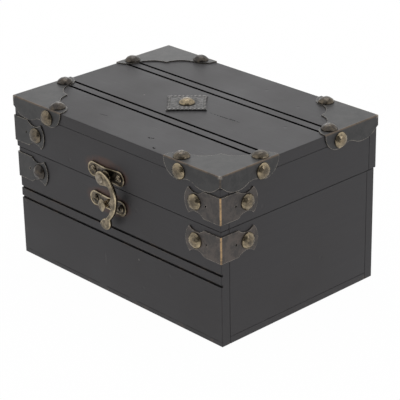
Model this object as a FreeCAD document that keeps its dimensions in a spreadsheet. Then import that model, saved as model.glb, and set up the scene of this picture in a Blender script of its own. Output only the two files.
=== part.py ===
import FreeCAD, Part
import math
import os
from types import SimpleNamespace

import Sketcher
from FreeCAD import Placement, Rotation, Vector

# Driving dimensions in millimetres, and angles in degrees. The frame has its origin under the middle of
# the box, +X to the right along the front, +Y to the back and +Z up.
SIZES = {
    # wooden box
    "box_width": 200.0,
    "box_depth": 141.0,
    "box_height": 80.0,
    "box_wall": 7.0,
    "base_thick": 5.0,
    "edge_ease": 0.5,
    "front_groove_drop": 33.5,
    "front_groove_pitch": 7.4,
    # wooden lid
    "seam_gap": 0.6,
    "lid_height": 36.4,
    "lid_overhang": 0.8,
    "lid_wall": 7.0,
    "lid_top_thick": 8.0,
    "lid_groove_offset": 28.4,
    "lid_groove_pitch": 7.8,
    "groove_width": 1.8,
    "groove_depth": 1.4,
    # thin sheet of the corners, straps and medallion
    "sheet_thick": 0.8,
    "sheet_fold": 0.6,
    # lid corners: the outline of the top plate, then of the flanges
    "corner_leg": 50.0,
    "corner_tip_along": 46.6,
    "corner_tip_in": 8.4,
    "corner_lobe_along": 38.6,
    "corner_lobe_in": 11.6,
    "corner_bite_along": 30.0,
    "corner_bite_in": 16.2,
    "corner_cusp": 25.7,
    "flange_tip_along": 44.8,
    "flange_tip_drop": 9.9,
    "flange_lobe_along": 34.0,
    "flange_lobe_drop": 11.4,
    "flange_waist_along": 27.8,
    "flange_waist_drop": 9.5,
    "flange_belly_along": 21.6,
    "flange_belly_drop": 11.4,
    "flange_deep_along": 13.2,
    "flange_deep_drop": 12.8,
    "flange_heel_along": 4.0,
    "flange_heel_drop": 9.8,
    "flange_notch_drop": 6.6,
    # front straps
    "strap_foot": 4.7,
    "strap_gap": 0.7,
    "strap_straight": 14.5,
    "strap_neck_along": 19.6,
    "strap_neck_share": 0.692,
    "strap_tip_along": 27.7,
    "strap_tip_share": 0.956,
    "strap_leg": 31.3,
    "strap_nail_along": 12.3,
    "strap_nail_radius": 0.8,
    "box_strap_drop": 12.4,
    # dome studs
    "stud_radius": 5.5,
    "stud_dome": 3.0,
    "stud_rim": 0.4,
    "stud_shank_radius": 0.9,
    "stud_shank_length": 5.0,
    "stud_point": 1.5,
    "top_stud_along": 40.0,
    "top_stud_in": 5.6,
    "flange_stud_along": 36.0,
    "flange_stud_drop": 6.2,
    "strap_stud_along": 22.4,
    # medallion
    "medallion_shift": -4.8,
    "medallion_half": 19.3,
    "medallion_rim_width": 2.4,
    "medallion_rim_rise": 0.7,
    # clasp
    "clasp_shift": -5.5,
    "hook_plate_rise": 7.5,
    "catch_plate_drop": 13.0,
    "clasp_screw_half": 12.6,
    "clasp_plate_radius": 5.3,
    "clasp_plate_thick": 1.2,
    "pivot_drop": 1.9,
    "boss_radius": 4.2,
    "boss_rise": 4.4,
    "rivet_radius": 1.6,
    "rivet_depth": 3.2,
    "rivet_head_radius": 3.1,
    "rivet_head_rise": 1.4,
    "hook_thick": 2.2,
    "plate_ease": 0.4,
    # hook outline, measured from its pivot
    "hook_head_radius": 4.5,
    "hook_crown_along": 2.6,
    "hook_crown_rise": 4.9,
    "hook_shoulder_along": 10.7,
    "hook_shoulder_drop": 0.3,
    "hook_back_along": 15.0,
    "hook_back_drop": 8.6,
    "hook_belly_along": 14.6,
    "hook_belly_drop": 16.6,
    "hook_root_along": 8.2,
    "hook_root_drop": 27.0,
    "hook_barb_along": 8.8,
    "hook_barb_drop": 30.3,
    "hook_end_along": 4.4,
    "hook_end_drop": 35.1,
    "hook_prong_along": -1.6,
    "hook_prong_drop": 31.9,
    "hook_curl_along": 0.6,
    "hook_curl_drop": 28.7,
    "hook_heel_along": 4.2,
    "hook_heel_drop": 26.8,
    "hook_inner_along": 8.2,
    "hook_inner_drop": 21.8,
    "hook_spur_along": 7.7,
    "hook_spur_drop": 14.4,
    "hook_spur_height": 3.3,
    "hook_spur_depth": 2.2,
    "hook_hollow_along": 10.0,
    "hook_hollow_drop": 7.4,
    "hook_neck_along": 7.0,
    "hook_neck_drop": 3.6,
    # catch, measured from the middle of its plate
    "catch_post_half_width": 2.2,
    "catch_post_half_height": 2.8,
    "catch_post_rise": 4.8,
    "catch_leaf_thick": 2.9,
    "catch_leaf_half_width": 3.6,
    "catch_leaf_shoulder": 1.5,
    "catch_leaf_top": 4.4,
    "catch_leaf_tip": 4.5,
    "catch_leaf_waist": 2.7,
    "catch_leaf_waist_drop": 2.2,
    # round-head screws
    "screw_head_radius": 2.5,
    "screw_head_rise": 1.4,
    "screw_shank_radius": 1.1,
    "screw_shank_length": 5.6,
    "screw_point": 1.8,
    "screw_slot_width": 0.6,
    "screw_slot_length": 3.0,
    "screw_slot_depth": 0.7,
    # panel brads
    "brad_radius": 0.6,
    "brad_head_radius": 0.9,
    "brad_head_thick": 0.5,
    "brad_length": 18.0,
    "brad_edge": 13.0,
    # hinges
    "hinge_inset": 42.0,
    "leaf_width": 30.0,
    "leaf_height": 15.0,
    "leaf_thick": 1.0,
    "leaf_screw_half": 8.5,
    "leaf_screw_level": 9.6,
    "knuckle_radius": 2.2,
    "lid_knuckle_length": 10.0,
    "hinge_pin_radius": 1.0,
    "hinge_pin_head_radius": 1.6,
    "hinge_pin_head_thick": 0.8,
    "stop_reach": 6.2,
    "lid_open_angle": 105.0,
    # clearances
    "press_clearance": 0.03,
    "running_clearance": 0.06,
    "side_clearance": 0.3,
    "hole_spare": 0.5,
    # jack
    "block_side": 64.0,
    "block_thick": 6.0,
    "spring_radius": 20.0,
    "spring_wire_radius": 0.9,
    "spring_least_pitch": 2.95,
    "spring_stop_count": 4,
    "spring_sample_count": 64,
    "staple_count": 2,
    "staple_wire_radius": 0.35,
    "staple_spacing_angle": 50.0,
    "disc_radius": 25.0,
    "disc_thick": 5.0,
    "coat_hem_radius": 34.0,
    "coat_thick": 1.2,
    "hem_gap": 4.0,
    "ruff_radius": 31.0,
    "ruff_height": 6.0,
    "neck_radius": 8.0,
    "neck_height": 6.5,
    "head_radius": 17.5,
    "nose_radius": 3.4,
    "nose_level": 1.5,
    "hat_brim_level": 7.5,
    "hat_brim_radius": 18.6,
    "hat_rim_height": 4.0,
    "hat_height": 27.5,
    "hat_tip_radius": 3.0,
    "bell_radius": 4.2,
    "bell_slot_width": 1.0,
    "head_gap": 3.8,
}

PLANE_TOP = "XY_Plane"
PLANE_FRONT = "XZ_Plane"
PLANE_SIDE = "YZ_Plane"
UP = Vector(0, 0, 1)
RIGHT = Vector(1, 0, 0)
BACK = Vector(0, 1, 0)
SLACK = 1e-4
RIGHT_ANGLE = 90
# The numbers by which a sketch knows the ends and centre of an element, and its two axes
START, END, CENTRE = range(1, 4)
V_AXIS, H_AXIS = range(-2, 0)

doc = FreeCAD.newDocument("jack_in_the_box")
sheet = doc.addObject("Spreadsheet::Sheet", "sizes")
for row, (size_name, size_value) in enumerate(SIZES.items(), start=1):
    sheet.set(f"A{row}", size_name)
    sheet.set(f"B{row}", str(size_value))
    sheet.setAlias(f"B{row}", size_name)
doc.recompute()

nodes = {}


class Size:
    """A number together with the sheet expression that drives it."""

    def __init__(self, number, text):
        self.number = number
        self.text = text

    def __add__(self, other):
        return Size(self.number + number_of(other), f"({self.text} + {text_of(other)})")

    def __radd__(self, other):
        return Size(number_of(other) + self.number, f"({text_of(other)} + {self.text})")

    def __sub__(self, other):
        return Size(self.number - number_of(other), f"({self.text} - {text_of(other)})")

    def __rsub__(self, other):
        return Size(number_of(other) - self.number, f"({text_of(other)} - {self.text})")

    def __mul__(self, other):
        return Size(self.number * number_of(other), f"({self.text} * {text_of(other)})")

    def __rmul__(self, other):
        return self * other

    def __truediv__(self, other):
        return Size(self.number / number_of(other), f"({self.text} / {text_of(other)})")

    def __neg__(self):
        return self * -1

    def root(self):
        return Size(math.sqrt(self.number), f"sqrt({self.text})")


def number_of(value):
    return value.number if isinstance(value, Size) else value


def text_of(value):
    return value.text if isinstance(value, Size) else repr(value)


def vector_of(point):
    return Vector(*[number_of(value) for value in point])


s = SimpleNamespace(**{name: Size(value, f"sizes.{name}") for name, value in SIZES.items()})


# Helpers that make document objects and bind them to the sheet


def bind(item, **values):
    for name, value in values.items():
        if isinstance(value, Size):
            item.setExpression(name, value.text)
        else:
            setattr(item, name, value)


def place(item, at, rotation=Rotation()):
    item.Placement = Placement(vector_of(at), rotation)
    for axis, value in zip("xyz", at):
        if isinstance(value, Size):
            item.setExpression(f"Placement.Base.{axis}", value.text)
    return item


def block(name, low, dims):
    item = doc.addObject("Part::Box", name)
    bind(item, Length=dims[0], Width=dims[1], Height=dims[2])
    return place(item, low)


def cylinder(name, radius, height, at, rotation=Rotation()):
    item = doc.addObject("Part::Cylinder", name)
    bind(item, Radius=radius, Height=height)
    return place(item, at, rotation)


def gathered(name, items):
    item = doc.addObject("Part::Compound", name)
    item.Links = items
    return item


def fused(name, items):
    item = doc.addObject("Part::MultiFuse", name)
    item.Shapes = items
    return item


def cut(name, base, tool):
    item = doc.addObject("Part::Cut", name)
    item.Base = base
    item.Tool = tool
    return item


def copy_of(item, name, at, rotation=Rotation()):
    link = doc.addObject("App::Link", name)
    link.LinkedObject = item
    return place(link, at, rotation)


def node(label, item):
    item.Label = label
    nodes[label] = item
    return item


def sketch_on(body, plane, name):
    sketch = body.newObject("Sketcher::SketchObject", name)
    support = next(item for item in body.Origin.OriginFeatures if item.Role == plane)
    sketch.AttachmentSupport = [(support, "")]
    sketch.MapMode = "FlatFace"
    return sketch


def hold_point(sketch, geometry, end, point):
    """Ties one end of a sketch element to a place given from the sketch's origin."""
    axes = (("DistanceX", V_AXIS, point[0]), ("DistanceY", H_AXIS, point[1]))
    for kind, axis, value in axes:
        if number_of(value) == 0 and not isinstance(value, Size):
            sketch.addConstraint(Sketcher.Constraint("PointOnObject", geometry, end, axis))
            continue
        rule = Sketcher.Constraint(kind, H_AXIS, START, geometry, end, number_of(value))
        index = sketch.addConstraint(rule)
        if isinstance(value, Size):
            sketch.setExpression(f"Constraints[{index}]", value.text)


def outline(sketch, steps):
    """Draws a closed outline. A step is the next corner, or a middle point and a corner for an arc."""
    corners = [step[-1] for step in steps]
    drawn = []
    for index, step in enumerate(steps):
        first = Vector(*[number_of(value) for value in corners[index - 1]], 0)
        last = Vector(*[number_of(value) for value in corners[index]], 0)
        if len(step) == 1:
            geometry = sketch.addGeometry(Part.LineSegment(first, last), False)
        else:
            middle = Vector(*[number_of(value) for value in step[0]], 0)
            geometry = sketch.addGeometry(Part.Arc(first, middle, last), False)
        forwards = sketch.getPoint(geometry, START).distanceToPoint(first) < SLACK
        ends = (START, END) if forwards else (END, START)
        drawn.append((geometry, ends))
    for index, (geometry, ends) in enumerate(drawn):
        before, before_ends = drawn[index - 1]
        sketch.addConstraint(Sketcher.Constraint("Coincident", before, before_ends[1], geometry, ends[0]))
        hold_point(sketch, geometry, ends[1], corners[index])
    for (geometry, _), step in zip(drawn, steps):
        if len(step) == 2:
            middle = Vector(*[number_of(value) for value in step[0]], 0)
            point = sketch.addGeometry(Part.Point(middle), True)
            hold_point(sketch, point, START, step[0])
            sketch.addConstraint(Sketcher.Constraint("PointOnObject", point, START, geometry))


def ring(sketch, centre, radius):
    middle = Vector(*[number_of(value) for value in centre], 0)
    geometry = sketch.addGeometry(Part.Circle(middle, UP, number_of(radius)), False)
    hold_point(sketch, geometry, CENTRE, centre)
    index = sketch.addConstraint(Sketcher.Constraint("Radius", geometry, number_of(radius)))
    sketch.setExpression(f"Constraints[{index}]", radius.text)


def pad(body, sketch, length, backwards=False):
    item = body.newObject("PartDesign::Pad", f"{sketch.Name}_pad")
    item.Profile = sketch
    item.Reversed = backwards
    bind(item, Length=length)
    return item


def pocket(body, sketch, depth, backwards=False):
    item = body.newObject("PartDesign::Pocket", f"{sketch.Name}_pocket")
    item.Profile = sketch
    item.Reversed = backwards
    bind(item, Length=depth)
    return item


def new_body(name):
    return doc.addObject("PartDesign::Body", name)


def turned(name, steps):
    """A body turned about Z from an outline in the plane of X and Z."""
    body = new_body(name)
    sketch = sketch_on(body, PLANE_FRONT, f"{name}_profile")
    outline(sketch, steps)
    spin = body.newObject("PartDesign::Revolution", f"{name}_turning")
    spin.Profile = sketch
    spin.ReferenceAxis = (sketch, ["V_Axis"])
    return body


def edge_names(shape, wanted):
    return [f"Edge{index}" for index, edge in enumerate(shape.Edges, start=1) if wanted(edge)]


def rounded(body, radius, wanted):
    doc.recompute()
    base = body.Tip
    item = body.newObject("PartDesign::Fillet", f"{body.Name}_round")
    item.Base = (base, edge_names(base.Shape, wanted))
    bind(item, Radius=radius)
    return item


def eased_board(name, low, dims):
    """A board with all its edges eased."""
    blank = block(f"{name}_blank", low, dims)
    doc.recompute()
    item = doc.addObject("Part::Fillet", f"{name}_eased")
    item.Base = blank
    ease = s.edge_ease.number
    item.Edges = [(index, ease, ease) for index in range(1, len(blank.Shape.Edges) + 1)]
    return item


# Levels and planes that several pieces share

half_width = s.box_width / 2
half_depth = s.box_depth / 2
lid_half_width = half_width + s.lid_overhang
lid_half_depth = half_depth + s.lid_overhang
lid_bottom = s.box_height + s.seam_gap
lid_top = lid_bottom + s.lid_height
lid_ceiling = lid_top - s.lid_top_thick
hinge_y = lid_half_depth + s.knuckle_radius + s.side_clearance
hinge_z = s.box_height + s.seam_gap / 2
hinge_shift = half_width - s.hinge_inset
strap_height = s.lid_height - s.flange_deep_drop - s.strap_gap - s.strap_foot
lid_strap_level = lid_bottom + s.strap_foot + strap_height / 2
box_strap_level = s.box_height - s.box_strap_drop
hook_plate_level = lid_bottom + s.hook_plate_rise
catch_plate_level = s.box_height - s.catch_plate_drop


# Fasteners: one of each, then copies, with a hole for each copy

FACES = {"top": UP, "front": -BACK, "back": BACK, "left": -RIGHT, "right": RIGHT}
holes = {"box": [], "lid": []}


def dome(radius, foot, rise):
    """The arc of a dome from its rim to the axis: its middle point and its top."""
    bow = (radius * radius + rise * rise) / (2 * rise)
    middle = ((bow * rise / 2).root(), foot + rise - bow + (bow * bow - bow * rise / 2).root())
    return middle, (0, foot + rise)


def nail_steps(shank_radius, shank_length, point):
    return [
        ((0, -shank_length),),
        ((shank_radius, point - shank_length),),
        ((shank_radius, 0),),
    ]


def fastener(kind, carrier, at, face):
    """A copy of a fastener seated at a point and facing outwards, and its hole in what is behind."""
    count = len(holes[carrier])
    outward = FACES[face]
    item = copy_of(kind.item, f"{kind.item.Name}_{carrier}_{count}", at, Rotation(UP, outward))
    start = [value + kind.proud * part for value, part in zip(at, outward)]
    hole = cylinder(f"{carrier}_hole_{count}", kind.radius + s.press_clearance,
                    kind.proud + kind.length + s.hole_spare, start, Rotation(UP, -outward))
    holes[carrier].append(hole)
    return item


stud = SimpleNamespace(
    item=turned("dome_stud", nail_steps(s.stud_shank_radius, s.stud_shank_length, s.stud_point) + [
        ((s.stud_radius, 0),),
        ((s.stud_radius, s.stud_rim),),
        dome(s.stud_radius, s.stud_rim, s.stud_dome),
    ]),
    radius=s.stud_shank_radius,
    length=s.stud_shank_length,
    proud=s.hole_spare,
)


def round_head_screw():
    """A round-head screw with a cross slot."""
    body = turned("round_screw", nail_steps(s.screw_shank_radius, s.screw_shank_length, s.screw_point) + [
        ((s.screw_head_radius, 0),),
        dome(s.screw_head_radius, 0, s.screw_head_rise),
    ])
    low = s.screw_head_rise - s.screw_slot_depth
    slots = []
    for name, along, across in (("slot_x", s.screw_slot_length, s.screw_slot_width),
                                ("slot_y", s.screw_slot_width, s.screw_slot_length)):
        slots.append(block(f"screw_{name}", (-along / 2, -across / 2, low),
                           (along, across, s.screw_head_rise)))
    return cut("cross_screw", body, fused("screw_slots", slots))


screw = SimpleNamespace(
    item=round_head_screw(),
    radius=s.screw_shank_radius,
    length=s.screw_shank_length,
    proud=s.hole_spare,
)
brad = SimpleNamespace(
    item=turned("panel_brad", [
        ((0, -s.brad_length),),
        ((s.brad_radius, s.brad_radius - s.brad_length),),
        ((s.brad_radius, -s.brad_head_thick),),
        ((s.brad_head_radius, 0),),
        ((0, 0),),
    ]),
    radius=s.brad_head_radius,
    length=s.brad_length,
    proud=0,
)


# Sheet-metal corners and straps, each drawn at a corner whose legs run along +X and +Y


def folded_sheet(body, radius):
    """Rounds the outside of the folds, the long straight edges that start at the corner."""
    outside = -s.sheet_thick.number

    def is_fold(edge):
        if edge.Curve.TypeId != "Part::GeomLine":
            return False
        box = edge.BoundBox
        on_left = abs(box.XMin - outside) < SLACK and abs(box.XMax - outside) < SLACK
        on_front = abs(box.YMin - outside) < SLACK and abs(box.YMax - outside) < SLACK
        on_top = abs(box.ZMin - s.sheet_thick.number) < SLACK
        return on_left + on_front + on_top == 2

    return rounded(body, radius, is_fold)


def lid_corner_pattern():
    """A pressed corner: a scalloped top plate and two lobed flanges."""
    body = new_body("lid_corner_pattern")
    skin = -s.sheet_thick
    top = sketch_on(body, PLANE_TOP, "corner_top")
    tip = (s.corner_tip_along, s.corner_tip_in)
    lobe = (s.corner_lobe_along, s.corner_lobe_in)
    bite = (s.corner_bite_along, s.corner_bite_in)
    outline(top, [
        ((skin, skin),),
        ((s.corner_leg, skin),),
        ((s.corner_leg, 0),),
        (tip, lobe),
        (bite, (s.corner_cusp, s.corner_cusp)),
        (bite[::-1], lobe[::-1]),
        (tip[::-1], (0, s.corner_leg)),
        ((skin, s.corner_leg),),
    ])
    pad(body, top, s.sheet_thick)
    flange_steps = [
        ((skin, 0),),
        ((s.corner_leg, 0),),
        ((s.flange_tip_along, -s.flange_tip_drop), (s.flange_lobe_along, -s.flange_lobe_drop)),
        ((s.flange_waist_along, -s.flange_waist_drop), (s.flange_belly_along, -s.flange_belly_drop)),
        ((s.flange_deep_along, -s.flange_deep_drop), (s.flange_heel_along, -s.flange_heel_drop)),
        ((0, -s.flange_notch_drop),),
        ((skin, -s.flange_notch_drop),),
    ]
    for plane, backwards in ((PLANE_FRONT, False), (PLANE_SIDE, True)):
        flange = sketch_on(body, plane, f"corner_flange_{plane}")
        outline(flange, flange_steps)
        pad(body, flange, s.sheet_thick, backwards)
    folded_sheet(body, s.sheet_fold)
    return body


def strap_pattern():
    """A bent strap with a flared, axe-shaped end on each leg and an empty nail hole in each."""
    body = new_body("strap_pattern")
    skin = -s.sheet_thick
    half = strap_height / 2
    neck = half * s.strap_neck_share
    flare = half * s.strap_tip_share
    steps = [
        ((skin, -half),),
        ((s.strap_straight, -half),),
        ((s.strap_neck_along, -neck), (s.strap_tip_along, -flare)),
        ((s.strap_leg, 0), (s.strap_tip_along, flare)),
        ((s.strap_neck_along, neck), (s.strap_straight, half)),
        ((skin, half),),
    ]
    for plane, backwards in ((PLANE_FRONT, False), (PLANE_SIDE, True)):
        leg = sketch_on(body, plane, f"strap_leg_{plane}")
        outline(leg, steps)
        ring(leg, (s.strap_nail_along, 0), s.strap_nail_radius)
        pad(body, leg, s.sheet_thick, backwards)
    folded_sheet(body, s.sheet_fold)
    return body


# The corners and the upright faces, each a quarter turn on from the one before
CORNERS = ("front_left", "front_right", "back_right", "back_left")
SIDES_BY_TURN = ("front", "right", "back", "left")


def corner_turn(corner):
    return Rotation(UP, RIGHT_ANGLE * CORNERS.index(corner))


def at_corner(spread, along, across, corner):
    """A place measured along the two legs of a corner, from the tip of that corner."""
    turns = ((along, across), (-across, along), (-along, -across), (across, -along))
    x, y = turns[CORNERS.index(corner)]
    right = 1 if "right" in corner else -1
    back = 1 if "back" in corner else -1
    return spread[0] * right + x, spread[1] * back + y


def corner_faces(corner):
    """The two upright faces that meet at a corner: along its first leg, then along its second."""
    quarters = CORNERS.index(corner)
    return SIDES_BY_TURN[quarters], SIDES_BY_TURN[quarters - 1]


lid_spread = (lid_half_width, lid_half_depth)
box_spread = (half_width, half_depth)
skin = -s.sheet_thick

corner_studs = []
corner_sheets = {}
corner_sheet = lid_corner_pattern()
for corner in CORNERS:
    tip = (*at_corner(lid_spread, 0, 0, corner), lid_top)
    corner_sheets[f"lid_corner_{corner}"] = copy_of(
        corner_sheet, f"corner_sheet_{corner}", tip, corner_turn(corner))
    first_face, second_face = corner_faces(corner)
    stud_level = lid_top - s.flange_stud_drop
    places = [
        (s.top_stud_along, s.top_stud_in, lid_top + s.sheet_thick, "top"),
        (s.top_stud_in, s.top_stud_along, lid_top + s.sheet_thick, "top"),
        (s.flange_stud_along, skin, stud_level, first_face),
        (skin, s.flange_stud_along, stud_level, second_face),
    ]
    for along, across, level, face in places:
        at = (*at_corner(lid_spread, along, across, corner), level)
        corner_studs.append(fastener(stud, "lid", at, face))
node("lid_corner_studs", gathered("lid_corner_stud_group", corner_studs))

strap_sheets = {"lid": {}, "box": {}}
strap_sheet = strap_pattern()
for carrier, spread, level in (("lid", lid_spread, lid_strap_level),
                               ("box", box_spread, box_strap_level)):
    strap_studs = []
    for corner, side in (("front_left", "left"), ("front_right", "right")):
        tip = (*at_corner(spread, 0, 0, corner), level)
        strap_sheets[carrier][f"{carrier}_strap_{side}"] = copy_of(
            strap_sheet, f"{carrier}_strap_sheet_{side}", tip, corner_turn(corner))
        first_face, second_face = corner_faces(corner)
        for along, across, face in ((s.strap_stud_along, skin, first_face),
                                    (skin, s.strap_stud_along, second_face)):
            at = (*at_corner(spread, along, across, corner), level)
            strap_studs.append(fastener(stud, carrier, at, face))
    node(f"{carrier}_strap_studs", gathered(f"{carrier}_strap_stud_group", strap_studs))


# Medallion: a square sheet set cornerwise, with a raised rim


def diamond(half):
    return [((half, 0),), ((0, half),), ((-half, 0),), ((0, -half),)]


def medallion():
    body = new_body("medallion_sheet")
    plate = sketch_on(body, PLANE_TOP, "medallion_outline")
    outline(plate, diamond(s.medallion_half))
    pad(body, plate, s.sheet_thick)
    rim = sketch_on(body, PLANE_TOP, "medallion_rim")
    outline(rim, diamond(s.medallion_half))
    outline(rim, diamond(s.medallion_half - s.medallion_rim_width))
    pad(body, rim, s.sheet_thick + s.medallion_rim_rise)
    return place(body, (s.medallion_shift, 0, lid_top))


medallion_sheet = medallion()
node("medallion_stud", fastener(stud, "lid", (s.medallion_shift, 0, lid_top + s.sheet_thick), "top"))


# Clasp: a plate with a pivot boss on the lid, a swinging hook, and a plate with a catch on the box


def plate_steps():
    reach = s.clasp_screw_half
    radius = s.clasp_plate_radius
    return [
        ((reach, -radius),),
        ((reach + radius, 0), (reach, radius)),
        ((-reach, radius),),
        ((-reach - radius, 0), (-reach, -radius)),
    ]


def ease_front(body, radius, level):
    """Rounds the edges of a front face, given by its level along Y."""

    def on_front(edge):
        box = edge.BoundBox
        return abs(box.YMin - level.number) < SLACK and abs(box.YMax - level.number) < SLACK

    return rounded(body, radius, on_front)


def clasp_plate(name):
    body = new_body(name)
    sketch = sketch_on(body, PLANE_FRONT, f"{name}_outline")
    outline(sketch, plate_steps())
    pad(body, sketch, s.clasp_plate_thick)
    ease_front(body, s.plate_ease, -s.clasp_plate_thick)
    return body


def hook_plate():
    body = clasp_plate("hook_plate_sheet")
    boss = sketch_on(body, PLANE_FRONT, "pivot_boss")
    ring(boss, (0, -s.pivot_drop), s.boss_radius)
    pad(body, boss, s.boss_rise)
    socket = sketch_on(body, PLANE_FRONT, "rivet_socket")
    ring(socket, (0, -s.pivot_drop), s.rivet_radius + s.press_clearance)
    pocket(body, socket, s.boss_rise, True)
    return place(body, (s.clasp_shift, -lid_half_depth, hook_plate_level))


def catch_plate():
    """The lower plate, with a post that ends in a leaf-shaped catch."""
    body = clasp_plate("catch_plate_sheet")
    post = sketch_on(body, PLANE_FRONT, "catch_post")
    wide = s.catch_post_half_width
    tall = s.catch_post_half_height
    outline(post, [((wide, -tall),), ((wide, tall),), ((-wide, tall),), ((-wide, -tall),)])
    pad(body, post, s.catch_post_rise)
    doc.recompute()
    leaf = sketch_on(body, PLANE_FRONT, "catch_leaf")
    leaf.AttachmentOffset = Placement(Vector(0, 0, s.catch_post_rise.number), Rotation())
    leaf.setExpression("AttachmentOffset.Base.z", s.catch_post_rise.text)
    half = s.catch_leaf_half_width
    shoulder = s.catch_leaf_shoulder
    waist = s.catch_leaf_waist
    outline(leaf, [
        ((0, s.catch_leaf_top), (-half, shoulder)),
        ((-waist, -s.catch_leaf_waist_drop), (0, -s.catch_leaf_tip)),
        ((waist, -s.catch_leaf_waist_drop), (half, shoulder)),
    ])
    pad(body, leaf, s.catch_leaf_thick)
    return place(body, (s.clasp_shift, -half_depth, catch_plate_level))


pivot = (s.clasp_shift, -lid_half_depth - s.boss_rise, hook_plate_level - s.pivot_drop)


def clasp_hook():
    """The crescent hook with its fishtail end, drawn from its pivot."""
    body = new_body("hook_sheet")
    sketch = sketch_on(body, PLANE_FRONT, "hook_outline")
    spur_low = s.hook_spur_drop + s.hook_spur_height
    outline(sketch, [
        ((-s.hook_head_radius, 0), (s.hook_crown_along, s.hook_crown_rise)),
        ((s.hook_shoulder_along, -s.hook_shoulder_drop), (s.hook_back_along, -s.hook_back_drop)),
        ((s.hook_belly_along, -s.hook_belly_drop), (s.hook_root_along, -s.hook_root_drop)),
        ((s.hook_barb_along, -s.hook_barb_drop),),
        ((s.hook_end_along, -s.hook_end_drop), (s.hook_prong_along, -s.hook_prong_drop)),
        ((s.hook_curl_along, -s.hook_curl_drop), (s.hook_heel_along, -s.hook_heel_drop)),
        ((s.hook_inner_along, -s.hook_inner_drop), (s.hook_spur_along + s.hook_spur_depth, -spur_low)),
        ((s.hook_spur_along, -s.hook_spur_drop),),
        ((s.hook_hollow_along, -s.hook_hollow_drop), (s.hook_neck_along, -s.hook_neck_drop)),
        ((0, -s.hook_head_radius),),
    ])
    ring(sketch, (0, 0), s.rivet_radius + s.running_clearance)
    pad(body, sketch, s.hook_thick)
    return place(body, (pivot[0], pivot[1] - s.side_clearance / 2, pivot[2]))


def hook_rivet():
    """A rivet from the boss through the hook, turned about Z and laid to face the front."""
    foot = -s.rivet_depth
    reach = s.hook_thick + s.side_clearance
    body = turned("rivet_turning", [
        ((0, foot),),
        ((s.rivet_radius, foot),),
        ((s.rivet_radius, reach),),
        ((s.rivet_head_radius, reach),),
        dome(s.rivet_head_radius, reach, s.rivet_head_rise),
    ])
    return place(body, pivot, Rotation(UP, -BACK))


hook_plate_sheet = hook_plate()
catch_plate_sheet = catch_plate()
node("clasp_hook", clasp_hook())
node("hook_rivet", hook_rivet())
for carrier, name, front, level in (
        ("lid", "hook_plate_screws", lid_half_depth, hook_plate_level),
        ("box", "catch_screws", half_depth, catch_plate_level)):
    pair = []
    for side in (-1, 1):
        at = (s.clasp_shift + s.clasp_screw_half * side, -front - s.clasp_plate_thick, level)
        pair.append(fastener(screw, carrier, at, "front"))
    node(name, gathered(f"{name}_group", pair))


# Hinges at the back, with a stop lip under the lid's leaf when the lid is open

knuckle_turn = Rotation(UP, RIGHT)
bore_radius = s.hinge_pin_radius + s.running_clearance
wing = (s.leaf_width - s.lid_knuckle_length) / 2


def knuckle(name, left, length):
    return cylinder(name, s.knuckle_radius, length, (left, hinge_y, hinge_z), knuckle_turn)


def leaf_arm(name, left, length, face, sign):
    """The fold from a leaf to its knuckle: up or down the face, then out to the axis."""
    rise = s.knuckle_radius + s.side_clearance + s.leaf_thick
    foot = s.knuckle_radius - s.leaf_thick
    low = hinge_z + (foot if sign > 0 else -rise)
    upright = block(f"{name}_upright", (left, face, low), (length, s.leaf_thick, rise - foot))
    low = hinge_z + (foot if sign > 0 else -s.knuckle_radius)
    bridge = block(f"{name}_bridge", (left, face, low), (length, hinge_y - face, s.leaf_thick))
    return [upright, bridge]


def hinge_leaf(name, centre, carrier):
    """One leaf: its plate, its arms and its knuckles, bored for the pin."""
    sign = 1 if carrier == "lid" else -1
    face = lid_half_depth if carrier == "lid" else half_depth
    left = centre - s.leaf_width / 2
    near = s.knuckle_radius + s.side_clearance
    low = hinge_z + (near if sign > 0 else -s.leaf_height)
    pieces = [block(f"{name}_plate", (left, face, low), (s.leaf_width, s.leaf_thick, s.leaf_height - near))]
    if carrier == "lid":
        start = centre - s.lid_knuckle_length / 2 + s.side_clearance / 2
        spans = [(start, s.lid_knuckle_length - s.side_clearance)]
    else:
        length = wing - s.side_clearance / 2
        spans = [(left, length), (centre + s.leaf_width / 2 - length, length)]
    for index, (start, length) in enumerate(spans):
        pieces += leaf_arm(f"{name}_arm_{index}", start, length, face, sign)
        pieces.append(knuckle(f"{name}_knuckle_{index}", start, length))
        if carrier == "box":
            pieces.append(stop_lip(f"{name}_stop_{index}", start, length))
    bore = cylinder(f"{name}_bore", bore_radius, s.leaf_width + 2 * s.hole_spare,
                    (left - s.hole_spare, hinge_y, hinge_z), knuckle_turn)
    return cut(f"{name}_bored", fused(f"{name}_whole", pieces), bore)


def stop_lip(name, left, length):
    """A lip from the knuckle that lies just under the lid's leaf at the open angle."""
    tilt = math.radians(s.lid_open_angle.number - RIGHT_ANGLE)
    leaf_offset = hinge_y - lid_half_depth - s.leaf_thick
    offset = (leaf_offset - s.side_clearance / 2 - s.leaf_thick).number
    item = doc.addObject("Part::Box", name)
    bind(item, Length=length, Width=s.stop_reach, Height=s.leaf_thick)
    at = (left, hinge_y + offset * math.sin(tilt), hinge_z + offset * math.cos(tilt))
    return place(item, at, Rotation(RIGHT, -math.degrees(tilt)))


def hinge_pin(name, centre):
    span = s.leaf_width / 2
    body = turned(name, [
        ((0, -span - s.hinge_pin_head_thick),),
        ((s.hinge_pin_head_radius, -span - s.hinge_pin_head_thick),),
        ((s.hinge_pin_head_radius, -span),),
        ((s.hinge_pin_radius, -span),),
        ((s.hinge_pin_radius, span),),
        ((s.hinge_pin_head_radius, span),),
        ((s.hinge_pin_head_radius, span + s.hinge_pin_head_thick),),
        ((0, span + s.hinge_pin_head_thick),),
    ])
    return place(body, (centre, hinge_y, hinge_z), knuckle_turn)


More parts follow.
